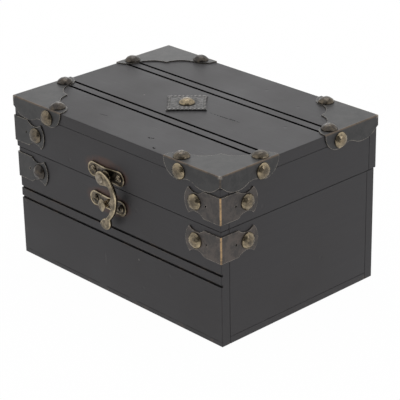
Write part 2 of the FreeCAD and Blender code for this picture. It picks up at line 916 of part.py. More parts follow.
hinge_leaves = {"box": {}, "lid": {}}
hinge_pins = []
for side, sign in (("left", -1), ("right", 1)):
    centre = hinge_shift * sign
    for carrier in ("box", "lid"):
        name = f"hinge_{carrier}_leaf_{side}"
        hinge_leaves[carrier][name] = hinge_leaf(name, centre, carrier)
    hinge_pins.append(hinge_pin(f"hinge_pin_{side}", centre))
node("hinge_pins", gathered("hinge_pin_group", hinge_pins))
for carrier, face, level in (("box", half_depth, hinge_z - s.leaf_screw_level),
                             ("lid", lid_half_depth, hinge_z + s.leaf_screw_level)):
    leaf_screws = []
    for hinge_side in (-1, 1):
        for screw_side in (-1, 1):
            x = hinge_shift * hinge_side + s.leaf_screw_half * screw_side
            leaf_screws.append(fastener(screw, carrier, (x, face + s.leaf_thick, level), "back"))
    node(f"hinge_{carrier}_screws", gathered(f"hinge_{carrier}_screw_group", leaf_screws))


# Panel brads: through the front and back boards into the ends of the side boards


def panel_brads(carrier, spread, levels):
    items = []
    wall = s.box_wall if carrier == "box" else s.lid_wall
    for face, back in (("front", -1), ("back", 1)):
        for right in (-1, 1):
            for level in levels:
                at = ((spread[0] - wall / 2) * right, spread[1] * back, level)
                items.append(fastener(brad, carrier, at, face))
    return node(f"{carrier}_panel_brads", gathered(f"{carrier}_brad_group", items))


panel_brads("box", box_spread, (s.base_thick + s.brad_edge, s.box_height / 2, s.box_height - s.brad_edge))
panel_brads("lid", lid_spread, (lid_bottom + s.brad_edge / 2,))


# Wooden boards: front and back run the full width, the sides stand between them

inner_depth = s.box_depth - 2 * s.box_wall
side_height = s.box_height - s.base_thick
lid_width = 2 * lid_half_width
lid_depth = 2 * lid_half_depth
rail_height = s.lid_height - s.lid_top_thick
lid_inner_depth = lid_depth - 2 * s.lid_wall

boards = {"box": {}, "lid": {}}
boards["box"]["base_board"] = eased_board(
    "base_board", (-half_width, s.box_wall - half_depth, 0), (s.box_width, inner_depth, s.base_thick))
for name, y in (("box_front_panel", -half_depth), ("box_back_panel", half_depth - s.box_wall)):
    boards["box"][name] = eased_board(
        name, (-half_width, y, 0), (s.box_width, s.box_wall, s.box_height))
for name, x in (("box_left_panel", -half_width), ("box_right_panel", half_width - s.box_wall)):
    boards["box"][name] = eased_board(
        name, (x, s.box_wall - half_depth, s.base_thick), (s.box_wall, inner_depth, side_height))
for name, y in (("lid_front_rail", -lid_half_depth), ("lid_back_rail", lid_half_depth - s.lid_wall)):
    boards["lid"][name] = eased_board(
        name, (-lid_half_width, y, lid_bottom), (lid_width, s.lid_wall, rail_height))
for name, x in (("lid_left_rail", -lid_half_width), ("lid_right_rail", lid_half_width - s.lid_wall)):
    boards["lid"][name] = eased_board(
        name, (x, s.lid_wall - lid_half_depth, lid_bottom), (s.lid_wall, lid_inner_depth, rail_height))
boards["lid"]["lid_top_panel"] = eased_board(
    "lid_top_panel", (-lid_half_width, -lid_half_depth, lid_ceiling), (lid_width, lid_depth, s.lid_top_thick))

grooves = {"box_front_panel": [], "lid_top_panel": []}
groove_run = lid_width + 2 * s.hole_spare
groove_left = -lid_half_width - s.hole_spare
for step in (-1, 1):
    low = s.box_height - s.front_groove_drop + s.front_groove_pitch / 2 * step - s.groove_width / 2
    grooves["box_front_panel"].append(block(
        f"front_groove_{step}", (groove_left, s.groove_depth - half_depth - s.box_wall, low),
        (groove_run, s.box_wall, s.groove_width)))
    for pair in (-1, 1):
        y = s.lid_groove_offset * pair + s.lid_groove_pitch / 2 * step
        grooves["lid_top_panel"].append(block(
            f"lid_groove_{pair}_{step}", (groove_left, y - s.groove_width / 2, lid_top - s.groove_depth),
            (groove_run, s.groove_width, s.lid_top_thick)))

drills = {carrier: gathered(f"{carrier}_holes", items) for carrier, items in holes.items()}
for carrier, panels in boards.items():
    for name, item in panels.items():
        if name in grooves:
            item = cut(f"{name}_grooved", item, gathered(f"{name}_grooves", grooves[name]))
        node(name, cut(f"{name}_drilled", item, drills[carrier]))
plates = {
    "box": {**strap_sheets["box"], **hinge_leaves["box"], "catch_plate": catch_plate_sheet},
    "lid": {**corner_sheets, **strap_sheets["lid"], **hinge_leaves["lid"],
            "hook_plate": hook_plate_sheet, "medallion_plate": medallion_sheet},
}
for carrier, sheets in plates.items():
    for name, item in sheets.items():
        node(name, cut(f"{name}_drilled", item, drills[carrier]))


# Jack: a block on the base, the spring, and the figure that the spring lifts

block_top = s.base_thick + s.block_thick
hat_tip = s.hat_brim_level + s.hat_height
figure_height = s.disc_thick + s.neck_height + s.head_radius + hat_tip + s.bell_radius
spring_height = lid_ceiling - s.head_gap - figure_height - block_top
disc_bottom = block_top + spring_height
disc_top = disc_bottom + s.disc_thick
head_level = disc_top + s.neck_height + s.head_radius

half_block = s.block_side / 2
node("spring_block", eased_board(
    "spring_block", (-half_block, -half_block, s.base_thick), (s.block_side, s.block_side, s.block_thick)))


def midpoint(first, last):
    return (first + last) / 2


def biarc(start, start_way, end, end_way):
    """Two arcs that join two points with the given directions and one tangent where they meet."""
    chord = end - start
    ways = start_way + end_way
    a = 2 * (1 - start_way.dot(end_way))
    b = 2 * chord.dot(ways)
    c = -chord.dot(chord)
    reach = (-b + math.sqrt(b * b - 4 * a * c)) / (2 * a)
    first_pole = start + start_way * reach
    last_pole = end - end_way * reach
    joint = midpoint(first_pole, last_pole)
    return [tangent_arc(start, first_pole, joint), tangent_arc(joint, last_pole, end)]


def tangent_arc(start, pole, end):
    """The arc whose two end tangents meet at the pole."""
    middle = midpoint(start, end)
    half = (end - start).Length / 2
    height = (pole - middle).Length
    slope = math.atan2(height, half)
    bow = half * math.tan(slope / 2)
    return Part.Arc(start, middle + (pole - middle) * (bow / height), end).toShape()


def spring_point(turn, low, pitch):
    angle = 2 * math.pi * turn
    radius = s.spring_radius.number
    at = Vector(radius * math.cos(angle), radius * math.sin(angle), low + pitch * turn)
    way = Vector(-math.sin(angle) * radius, math.cos(angle) * radius, pitch / (2 * math.pi))
    return at, way.normalize()


coil_seat = s.spring_wire_radius + s.side_clearance / 2
coil_run = spring_height - 2 * coil_seat
spring_turns = math.floor((coil_run / s.spring_least_pitch).number)
spring_pitch = coil_run.number / spring_turns


def jack_spring():
    """One unbroken coil of round wire, a pair of arcs from each stop on a turn to the next."""
    wire = s.spring_wire_radius.number
    low = (block_top + coil_seat).number
    turn_stops = SIZES["spring_stop_count"]
    turn_points = SIZES["spring_sample_count"]
    stop_total = turn_stops * spring_turns + 1
    stops = [spring_point(index / turn_stops, low, spring_pitch) for index in range(stop_total)]
    edges = []
    for (start, start_way), (end, end_way) in zip(stops, stops[1:]):
        edges += biarc(start, start_way, end, end_way)
    path = Part.Wire(edges)
    start, way = stops[0]
    section = Part.Wire(Part.Circle(start, way, wire).toShape())
    solid = path.makePipeShell([section], True, False)
    points = path.discretize(Number=turn_points * spring_turns)
    gap = min(
        (points[i] - points[j]).Length
        for i in range(len(points))
        for j in range(i + turn_points // 2, min(i + 2 * turn_points, len(points)))
    ) - 2 * wire
    ideal = math.pi * wire * wire * path.Length
    print(f"spring: {spring_turns} turns, least gap {gap:.2f} mm")
    print(f"spring: volume {solid.Volume:.1f} of {ideal:.1f} mm3")
    item = doc.addObject("Part::Feature", "jack_spring_wire")
    item.Shape = solid
    return item


def spring_staples():
    """Half rings over the first turn of the spring, standing on the block."""
    wire_top = 2 * s.spring_wire_radius.number + s.side_clearance.number
    items = []
    for index in range(SIZES["staple_count"]):
        angle = math.radians(s.staple_spacing_angle.number) * (index + 1)
        rise = spring_pitch * angle / (2 * math.pi)
        ring_radius = wire_top + rise + s.staple_wire_radius.number
        staple = doc.addObject("Part::Torus", f"staple_{index}")
        staple.Radius1 = ring_radius
        staple.Angle3 = 2 * RIGHT_ANGLE
        bind(staple, Radius2=s.staple_wire_radius)
        radius = s.spring_radius.number
        stand = Rotation(UP, math.degrees(angle)).multiply(Rotation(RIGHT, RIGHT_ANGLE))
        staple.Placement = Placement(
            Vector(radius * math.cos(angle), radius * math.sin(angle), block_top.number), stand)
        items.append(staple)
    return gathered("spring_staple_group", items)


node("jack_spring", jack_spring())
node("spring_staples", spring_staples())

node("spring_disc", place(turned("spring_disc_turning", [
    ((0, 0),),
    ((s.disc_radius, 0),),
    ((s.disc_radius, s.disc_thick),),
    ((0, s.disc_thick),),
]), (0, 0, disc_bottom)))

coat_top = s.disc_thick
coat_hem = s.hem_gap - spring_height
coat_flare = s.disc_radius + s.coat_thick
node("jack_coat", place(turned("jack_coat_turning", [
    ((s.disc_radius, 0),),
    ((s.disc_radius, coat_top),),
    ((coat_flare, coat_top),),
    ((coat_flare + s.coat_thick, 0),),
    ((s.coat_hem_radius, coat_hem),),
    ((s.coat_hem_radius - s.coat_thick, coat_hem),),
]), (0, 0, disc_bottom)))

ruff_root = s.neck_radius + s.press_clearance
ruff_edge = s.ruff_radius - s.ruff_height / 2
node("jack_ruff", place(turned("jack_ruff_turning", [
    ((ruff_root, 0),),
    ((ruff_edge, 0),),
    ((s.ruff_radius, s.ruff_height / 2), (ruff_edge, s.ruff_height)),
    ((ruff_root, s.ruff_height),),
]), (0, 0, disc_top)))

head_centre = s.neck_height + s.head_radius
throat = head_centre - (s.head_radius * s.head_radius - s.neck_radius * s.neck_radius).root()
head_turning = place(turned("jack_head_turning", [
    ((0, 0),),
    ((s.neck_radius, 0),),
    ((s.neck_radius, throat),),
    ((s.head_radius, head_centre), (0, head_centre + s.head_radius)),
]), (0, 0, disc_top))
node("jack_head", head_turning)

nose_ball = doc.addObject("Part::Sphere", "nose_ball")
bind(nose_ball, Radius=s.nose_radius)
place(nose_ball, (0, -s.head_radius, head_level - s.nose_level))
node("jack_nose", cut("nose_seated", nose_ball, head_turning))

hat_foot = s.hat_brim_level
hat_cone = turned("hat_turning", [
    ((0, hat_foot),),
    ((s.hat_brim_radius, hat_foot),),
    ((s.hat_brim_radius, hat_foot + s.hat_rim_height),),
    ((s.hat_tip_radius, hat_tip),),
    ((0, hat_tip),),
])
place(hat_cone, (0, 0, head_level))
skull = doc.addObject("Part::Sphere", "hat_hollow")
bind(skull, Radius=s.head_radius + s.press_clearance)
place(skull, (0, 0, head_level))
bell_level = head_level + hat_tip
bell_seat = doc.addObject("Part::Sphere", "bell_seat")
bind(bell_seat, Radius=s.bell_radius + s.press_clearance)
place(bell_seat, (0, 0, bell_level))
node("jack_hat", cut("hat_hollowed", hat_cone, fused("hat_hollows", [skull, bell_seat])))

bell_ball = doc.addObject("Part::Sphere", "bell_ball")
bind(bell_ball, Radius=s.bell_radius)
place(bell_ball, (0, 0, bell_level))
bell_slot = block(
    "bell_slot", (-s.bell_radius, -s.bell_slot_width / 2, bell_level + s.bell_radius / 2),
    (2 * s.bell_radius, s.bell_slot_width, s.bell_radius))
node("hat_bell", cut("bell_slotted", bell_ball, bell_slot))


# Test every object, then write each sub-part

doc.recompute()
faults = [item.Label for item in doc.Objects if {"Invalid", "Error"} & set(item.State)]
for name, item in nodes.items():
    if item.Shape.isNull() or not item.Shape.isValid() or not item.Shape.Solids:
        faults.append(name)
if faults:
    raise SystemExit(f"not built: {faults}")
os.makedirs("parts", exist_ok=True)
for name, item in nodes.items():
    item.Shape.exportStep(f"parts/{name}.step")
    box = item.Shape.BoundBox
    corners = (box.XMin, box.XMax, box.YMin, box.YMax, box.ZMin, box.ZMax)
    spans = " ".join(f"{value:7.2f}" for value in corners)
    print(f"{name:24s} solids {len(item.Shape.Solids):2d} volume {item.Shape.Volume:10.1f} spans {spans}")
print(len(nodes), "nodes")
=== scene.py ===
import logging
import math
from contextlib import contextmanager
from dataclasses import dataclass, field
from enum import Enum
from typing import Callable, Iterator, Sequence

import bmesh
import bpy
from mathutils import Matrix, Vector
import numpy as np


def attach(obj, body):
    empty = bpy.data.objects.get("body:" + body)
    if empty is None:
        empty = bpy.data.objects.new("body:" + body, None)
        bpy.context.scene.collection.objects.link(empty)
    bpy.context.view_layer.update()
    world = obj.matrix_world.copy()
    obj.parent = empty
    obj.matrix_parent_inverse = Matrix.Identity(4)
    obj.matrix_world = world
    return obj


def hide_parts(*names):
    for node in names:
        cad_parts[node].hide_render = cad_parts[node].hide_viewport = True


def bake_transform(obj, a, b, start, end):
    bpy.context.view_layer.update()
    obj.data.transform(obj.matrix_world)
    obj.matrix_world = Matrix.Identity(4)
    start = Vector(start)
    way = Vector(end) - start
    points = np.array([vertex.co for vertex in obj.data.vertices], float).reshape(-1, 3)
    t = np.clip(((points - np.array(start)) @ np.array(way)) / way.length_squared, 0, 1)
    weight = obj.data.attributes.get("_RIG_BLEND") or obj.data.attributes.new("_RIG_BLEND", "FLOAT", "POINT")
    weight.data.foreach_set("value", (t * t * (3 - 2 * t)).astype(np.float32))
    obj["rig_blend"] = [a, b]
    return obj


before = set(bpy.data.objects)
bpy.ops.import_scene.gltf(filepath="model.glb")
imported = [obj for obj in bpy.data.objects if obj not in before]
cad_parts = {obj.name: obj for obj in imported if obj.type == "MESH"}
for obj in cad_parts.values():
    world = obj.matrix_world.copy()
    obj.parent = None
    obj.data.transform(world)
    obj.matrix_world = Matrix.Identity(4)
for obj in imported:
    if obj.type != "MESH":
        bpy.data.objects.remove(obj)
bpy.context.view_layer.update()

MM = 0.001
FULL_TURN = 2 * math.pi
# Vertex attributes that the metal reads: the first holds wear from rubbing and painted highlight, the second
# patina and painted shade.
RUB_AND_HIGHLIGHT = "rub"
SHADE_AND_PATINA = "age"
# A level far above every sheet, for a sheet that isn't folded over the top
NO_FOLD = 400.0
log = logging.getLogger("jack_in_the_box")

Colour = tuple[float, float, float]
Point = tuple[float, float, float]
Pair = tuple[float, float]
Item = bpy.types.Object
Finish = bpy.types.Material


class Pick(Enum):
    """What an edit-mode selection is made of."""

    EDGE = "EDGE"
    FACE = "FACE"


class Facing(Enum):
    """The way a fitting looks: the turn that takes local +Z there, and +Y up on the sides."""

    TOP = Matrix.Identity(4)
    FRONT = Matrix(((1, 0, 0, 0), (0, 0, -1, 0), (0, 1, 0, 0), (0, 0, 0, 1)))
    BACK = Matrix(((-1, 0, 0, 0), (0, 0, 1, 0), (0, 1, 0, 0), (0, 0, 0, 1)))
    LEFT = Matrix(((0, 0, -1, 0), (-1, 0, 0, 0), (0, 1, 0, 0), (0, 0, 0, 1)))
    RIGHT = Matrix(((0, 0, 1, 0), (1, 0, 0, 0), (0, 1, 0, 0), (0, 0, 0, 1)))


class Grain(Enum):
    """The way a board's grain runs."""

    ACROSS = (9.0, 420.0, 420.0)
    DEEP = (420.0, 9.0, 420.0)


# Shader building


class Socket:
    """A value in a node tree, with the operators that shader maths uses."""

    def __init__(self, tree: "Shader", link: bpy.types.NodeSocket) -> None:
        """Keeps the tree and the output socket."""
        self.tree = tree
        self.link = link

    def _maths(self, operation: str, first: object, second: object = 0.0) -> "Socket":
        """One Math node on two values or sockets."""
        return self.tree.node("ShaderNodeMath", {"operation": operation}, {0: first, 1: second})

    def __add__(self, other: object) -> "Socket":
        """Sum."""
        return self._maths("ADD", self, other)

    __radd__ = __add__

    def __sub__(self, other: object) -> "Socket":
        """Difference."""
        return self._maths("SUBTRACT", self, other)

    def __rsub__(self, other: object) -> "Socket":
        """Difference with the sides changed."""
        return self._maths("SUBTRACT", other, self)

    def __mul__(self, other: object) -> "Socket":
        """Product."""
        return self._maths("MULTIPLY", self, other)

    __rmul__ = __mul__

    def __truediv__(self, other: object) -> "Socket":
        """Quotient."""
        return self._maths("DIVIDE", self, other)

    def __pow__(self, other: object) -> "Socket":
        """Power."""
        return self._maths("POWER", self, other)

    def least(self, other: object) -> "Socket":
        """The smaller of the two."""
        return self._maths("MINIMUM", self, other)

    def most(self, other: object) -> "Socket":
        """The larger of the two."""
        return self._maths("MAXIMUM", self, other)

    def size(self) -> "Socket":
        """The value without its sign."""
        return self._maths("ABSOLUTE", self)

    def sine(self) -> "Socket":
        """The sine of the value."""
        return self._maths("SINE", self)

    def step(self, low: float, high: float) -> "Socket":
        """A smooth step from 0 at low to 1 at high, which falls where low is the larger."""
        sockets = {"Value": self, "From Min": low, "From Max": high}
        return self.tree.node("ShaderNodeMapRange", {"interpolation_type": "SMOOTHSTEP"}, sockets)


class Shader:
    """A material under construction: its tree, its main shader and its textures."""

    def __init__(self, name: str) -> None:
        """Starts a material with one principled shader.

        Args:
            name: the material's name.
        """
        self.material = bpy.data.materials.new(name)
        self.material.use_nodes = True
        self.tree = self.material.node_tree
        self.tree.nodes.clear()
        self.output = self.tree.nodes.new("ShaderNodeOutputMaterial")
        self.body = self.tree.nodes.new("ShaderNodeBsdfPrincipled")
        self.tree.links.new(self.body.outputs[0], self.output.inputs["Surface"])
        self.place = self.node("ShaderNodeTexCoord", {}, {}, "Object")

    def node(self, kind: str, settings: dict, sockets: dict, output: object = None) -> Socket:
        """Adds one node.

        Args:
            kind: the node's type.
            settings: its own properties, set first.
            sockets: values or links for its inputs, by name or index.
            output: the output to return, by name or index; the first that is in use by default.

        Returns:
            The output, wrapped.
        """
        made = self.tree.nodes.new(kind)
        for name, value in settings.items():
            setattr(made, name, value)
        for name, value in sockets.items():
            self.feed(self._input(made, name), value)
        if output is None:
            output = next(i for i, out in enumerate(made.outputs) if out.enabled)
        return Socket(self, made.outputs[output])

    @staticmethod
    def _input(made: bpy.types.Node, name: object) -> bpy.types.NodeSocket:
        """The input of that name that is in use, or the one of that index."""
        if isinstance(name, int):
            return made.inputs[name]
        return next(s for s in made.inputs if s.name == name and s.enabled)

    def feed(self, socket: bpy.types.NodeSocket, value: object) -> None:
        """Links a wrapped socket to an input, or sets a plain value on it."""
        if isinstance(value, Socket):
            self.tree.links.new(value.link, socket)
        elif isinstance(value, tuple) and len(value) == 3 and socket.type == "RGBA":
            socket.default_value = (*value, 1.0)
        else:
            socket.default_value = value

    def mix(self, factor: object, first: object, second: object) -> Socket:
        """A colour between two colours."""
        sockets = {"Factor": factor, "A": first, "B": second}
        return self.node("ShaderNodeMix", {"data_type": "RGBA"}, sockets)

    def scaled(self, scale: Point) -> Socket:
        """Object coordinates, scaled."""
        return self.node("ShaderNodeMapping", {}, {"Vector": self.place, "Scale": scale})

    def noise(self, scale: object, detail: float = 4.0, rough: float = 0.55) -> Socket:
        """Noise on object coordinates.

        Args:
            scale: one scale, or three to stretch it.
            detail: how many octaves it has.
            rough: how strong the fine octaves are.

        Returns:
            A value around one half.
        """
        scales = scale if isinstance(scale, tuple) else (scale, scale, scale)
        sockets = {"Vector": self.scaled(scales), "Scale": 1.0, "Detail": detail, "Roughness": rough}
        return self.node("ShaderNodeTexNoise", {}, sockets, 0)

    def pits(self, scale: float) -> Socket:
        """Distance to the nearest of many scattered points."""
        sockets = {"Vector": self.scaled((scale,) * 3), "Scale": 1.0}
        return self.node("ShaderNodeTexVoronoi", {}, sockets, "Distance")

    def axes(self) -> tuple[Socket, Socket, Socket]:
        """The three object coordinates in millimetres."""
        split = self.node("ShaderNodeSeparateXYZ", {}, {0: self.place}).link.node
        x, y, z = (Socket(self, out) * (1 / MM) for out in split.outputs)
        return x, y, z

    def edge(self, radius: float) -> Socket:
        """How near an edge is: 0 on open faces, rising towards 1 on sharp edges.

        Args:
            radius: how far the edge reaches, in millimetres.

        Returns:
            The nearness.
        """
        soft = self.node("ShaderNodeBevel", {"samples": 8}, {"Radius": radius * MM})
        true = self.node("ShaderNodeNewGeometry", {}, {}, "True Normal")
        settings = {"operation": "DOT_PRODUCT"}
        same = self.node("ShaderNodeVectorMath", settings, {0: soft, 1: true}, "Value")
        return same.step(0.995, 0.86)

    def hollow(self, reach: float, alone: bool = True) -> Socket:
        """How deep a place lies among its neighbours: 0 on open faces, 1 in a hollow.

        Args:
            reach: how far the neighbours count, in millimetres.
            alone: whether only the piece's own faces count.

        Returns:
            The depth.
        """
        settings = {"samples": 8, "only_local": alone}
        open_sky = self.node("ShaderNodeAmbientOcclusion", settings, {"Distance": reach * MM}, "AO")
        return open_sky.step(0.86, 0.45)

    def bump(self, height: object, depth: float, strength: float = 1.0) -> Socket:
        """A bump normal.

        Args:
            height: the height, from 0 to 1.
            depth: what a height of 1 is, in millimetres.
            strength: how much of it shows.

        Returns:
            The normal.
        """
        sockets = {"Height": height, "Distance": depth * MM, "Strength": strength}
        return self.node("ShaderNodeBump", {}, sockets)

    def cover(self, factor: Socket, over: Socket) -> None:
        """Lays another shader over the main one where the factor says."""
        main = Socket(self, self.body.outputs[0])
        both = self.node("ShaderNodeMixShader", {}, {0: factor, 1: main, 2: over})
        self.feed(self.output.inputs["Surface"], both)

    def dress(self, **inputs: object) -> Finish:
        """Feeds the main shader.

        Args:
            inputs: its sockets' names, with _ for a space, and their values or links.

        Returns:
            The finished material.
        """
        for name, value in inputs.items():
            self.feed(self.body.inputs[name.replace("_", " ")], value)
        return self.material


# Finishes


@dataclass(frozen=True)
class Mark:
    """A scratch or chip on the lid's top: its middle, half length, half width and turn in degrees."""

    x: float
    y: float
    long: float
    wide: float
    turn: float = 0.0


@dataclass(frozen=True)
class DarkWood:
    """Charcoal stained board with a satin surface, dents and edges worn by rubbing; its hollows and grooves
    are blackened with painted shade.
    """

    name: str
    grain: Grain
    marks: tuple[Mark, ...] = ()
    grooves: tuple[Pair, ...] = ()
    stain: Colour = (0.0090, 0.0090, 0.0105)
    faded: Colour = (0.021, 0.0198, 0.0202)
    bare: Colour = (0.10, 0.072, 0.052)
    rub: Colour = (0.060, 0.022, 0.010)
    tint: Colour = (1.0, 0.965, 0.995)
    nick: Colour = (0.16, 0.15, 0.14)
    black: Colour = (0.002, 0.002, 0.002)
    clasp_x: float = -6.0
    clasp_levels: Pair = (90.0, 67.5)
    halo: Pair = (24.0, 10.0)
    front: float = -70.0
    foot_line: float = 3.4
    front_scratch: Pair = (-11.4, 24.7)
    scratch_half: Pair = (0.24, 4.6)
    groove_half: Pair = (1.22, 0.98)
    hollow_reach: float = 2.4
    lid_top: float = 117.0
    # The band of height where the grooves' painted shade is made lighter.
    front_grooves: Pair = (30.0, 64.0)
    groove_fade: float = 0.8

    def material(self) -> Finish:
        """Builds the finish."""
        kit = Shader(self.name)
        x, y, z = kit.axes()
        grain = kit.noise(self.grain.value, 6.0, 0.65)
        broad = kit.noise(16.0, 4.0, 0.6)
        colour = kit.mix((grain * 0.5 + broad * 0.9).step(0.5, 0.95), self.stain, self.faded)
        on_front = y.step(self.front + 1.0, self.front + 0.2)
        halo = self.near_clasp(x, z) * on_front
        colour = kit.mix(halo * kit.noise(95.0, 5.0).step(0.30, 0.54) * 0.9, colour, self.rub)
        worn = kit.edge(0.9) * kit.noise(110.0, 6.0, 0.7).step(0.47, 0.62)
        foot = z.step(5.0, 0.5) * kit.noise(150.0, 6.0, 0.7).step(0.54, 0.62)
        colour = kit.mix((worn * 0.8).most(foot * 0.45), colour, self.bare)
        dents = kit.pits(52.0).step(0.09, 0.03)
        scratch = kit.noise((22.0, 420.0, 260.0), 2.0).step(0.69, 0.75)
        nicks = kit.pits(37.0).step(0.030, 0.018) * kit.noise(31.0, 2.0).step(0.45, 0.55)
        colour = kit.mix(dents * 0.5 + scratch * 0.25, colour, self.faded)
        colour = kit.mix(nicks * 0.8, colour, self.nick)
        along = (x - self.front_scratch[0]) / self.scratch_half[0]
        up = (z - self.front_scratch[1]) / self.scratch_half[1]
        pale = (along * along + up * up).step(1.0, 0.4) * on_front
        colour = kit.mix(pale * 0.45, colour, self.nick)
        line = (z - self.foot_line).size().step(0.5, 0.15) * on_front
        line = line * kit.noise(45.0, 3.0).step(0.38, 0.52)
        # Painted shade: the black cover fills the board's own hollows and grooves and a faint line near the
        # front's foot, and darkens the scored marks.
        dark = kit.hollow(self.hollow_reach).most(line * 0.4)
        on_top = z.step(self.lid_top - 1.6, self.lid_top - 1.2)
        for mark in self.marks:
            dark = dark.most(self.scored(kit, mark, x, y) * on_top)
        for middle, apart in self.grooves:
            off_line = ((y.size() - middle).size() - apart).size()
            dark = dark.most(off_line.step(*self.groove_half) * on_top)
        rough = 0.28 + grain * 0.10 + broad * 0.34
        height = grain * 0.4 + kit.noise(900.0, 2.0) * 0.12 - dents * 1.4 - scratch * 0.5 - dark
        # The painted shade in the front's grooves is lighter in this band.
        low, high = self.front_grooves
        faded = z.step(low, low + 2.0) * z.step(high, high - 2.0) * self.groove_fade
        black = kit.node("ShaderNodeBsdfDiffuse", {}, {"Color": self.black})
        kit.cover(dark * (1.0 - faded), black)
        return kit.dress(Base_Color=colour, Roughness=rough, Specular_Tint=self.tint,
                         Normal=kit.bump(height, 0.14, 0.6))

    def near_clasp(self, x: Socket, z: Socket) -> Socket:
        """How near the clasp's two plates are: 1 beside them and 0 away from them."""
        wide, tall = self.halo
        halos = []
        for level in self.clasp_levels:
            along, up = (x - self.clasp_x) / wide, (z - level) / tall
            halos.append((along * along + up * up).step(1.0, 0.45))
        return halos[0].most(halos[1])

    @staticmethod
    def scored(kit: Shader, mark: Mark, x: Socket, y: Socket) -> Socket:
        """Where a mark has been scored into the top: 1 in it and 0 outside."""
        cos, sin = math.cos(math.radians(mark.turn)), math.sin(math.radians(mark.turn))
        along = (x - mark.x) * cos + (y - mark.y) * sin
        across = (y - mark.y) * cos - (x - mark.x) * sin
        ragged = kit.noise(600.0, 3.0) * 1.6 - 0.3
        off_middle = (along / mark.long) ** 2 + (across / mark.wide) ** 2
        return off_middle.step(1.0, 0.5) * ragged.step(0.3, 0.5)


@dataclass(frozen=True)
class Folds:
    """Where a sheet is folded over a corner: its outer half width, half depth and top."""

    wide: float
    deep: float
    top: float
    wear: float


@dataclass(frozen=True)
class WornMetal:
    """Old plated metal: darkened in its hollows by grime and painted shade, bright where rubbing has worn it
    and where highlight is painted on, and gold along its folds.
    """

    name: str
    dark: Colour
    face: Colour
    bright: Colour
    wear: float
    rough: float
    metal: float
    edge_reach: float = 0.5
    hollow_reach: float = 1.7
    bare_from: float = 0.46
    hammered: float = 0.0
    folds: Folds | None = None
    gold: Colour = (0.50, 0.33, 0.17)
    shade_and_patina_tone: Colour = (0.050, 0.043, 0.039)

    def material(self) -> Finish:
        """Builds the finish."""
        kit = Shader(self.name)
        cloud = kit.noise(130.0, 6.0, 0.65)
        fine = kit.noise(560.0, 5.0, 0.65)
        colour = kit.mix((cloud * 0.65 + fine * 0.35).step(0.42, 0.58), self.dark, self.face)
        patchy = (cloud * 0.6 + fine * 0.5).step(self.bare_from, self.bare_from + 0.2)
        # The second attribute mixes in the darker tone: painted shade on the top studs and round the
        # medallion's stud and beads, and patina elsewhere.
        age = kit.node("ShaderNodeAttribute", {"attribute_name": SHADE_AND_PATINA}, {}, "Fac")
        colour = kit.mix(age * (1.0 - fine * 0.5), colour, self.shade_and_patina_tone)
        # The first attribute brightens wear from rubbing and painted highlight; the edges brighten for wear
        # and as painted highlight along the cut sheet edges.
        rub_and_highlight_share = kit.node("ShaderNodeAttribute", {"attribute_name": RUB_AND_HIGHLIGHT}, {}, "Fac")
        rub_and_highlight_share = rub_and_highlight_share * (1.0 - age * 0.95)
        rub_and_highlight = (kit.edge(self.edge_reach) * patchy * self.wear).most(rub_and_highlight_share * (patchy * 0.5 + 0.5))
        colour = kit.mix(rub_and_highlight.least(1.0), colour, self.bright)
        if self.folds:
            fold, tip = self.folded(kit, self.folds)
            fold = fold * (patchy * 0.8 + 0.2) * self.folds.wear
            colour = kit.mix(fold.least(1.0), colour, self.gold)
            colour = kit.mix(tip * patchy * 0.7, colour, self.bright)
            rub_and_highlight = rub_and_highlight.most(fold)
        # Darkening in the metal's hollows and, where neighbouring parts count, beside them: painted shade,
        # with some grime.
        deep = kit.hollow(self.hollow_reach, self.folds is not None)
        colour = kit.mix(deep * 0.9, colour, self.dark)
        rough = self.rough + fine * 0.18 - rub_and_highlight * 0.10 + deep * 0.25
        dimples = kit.pits(420.0).step(0.0, 0.8)
        height = fine * 0.35 + dimples * self.hammered
        metal = (rub_and_highlight * 0.6 + self.metal).least(1.0)
        return kit.dress(
            Base_Color=colour, Roughness=rough, Metallic=metal, Normal=kit.bump(height, 0.12, 0.7))

    @staticmethod
    def folded(kit: Shader, folds: Folds) -> tuple[Socket, Socket]:
        """How near a fold and a corner's tip are: 1 on them and 0 away from them."""
        x, y, z = kit.axes()
        a, b, c = folds.wide - x.size(), folds.deep - y.size(), folds.top - z
        second = a.least(b).most(a.most(b).least(c))
        return second.step(1.25, 0.3), a.most(b).most(c).step(2.6, 0.8)


@dataclass(frozen=True)
class PlainWood:
    """Bare pale wood with growth rings, for the pieces inside."""

    name: str
    pale: Colour = (0.50, 0.33, 0.18)
    ring: Colour = (0.33, 0.19, 0.09)
    worn: Colour = (0.62, 0.45, 0.28)

    def material(self) -> Finish:
        """Builds the finish."""
        kit = Shader(self.name)
        grain = kit.noise((14.0, 260.0, 90.0), 5.0, 0.6)
        fine = kit.noise((40.0, 1200.0, 500.0), 3.0)
        colour = kit.mix((grain * 0.8 + fine * 0.25).step(0.38, 0.72), self.pale, self.ring)
        colour = kit.mix(kit.edge(0.7) * 0.4, colour, self.worn)
        return kit.dress(
            Base_Color=colour, Roughness=0.55 + fine * 0.15,
            Normal=kit.bump(grain + fine * 0.5, 0.08, 0.6))


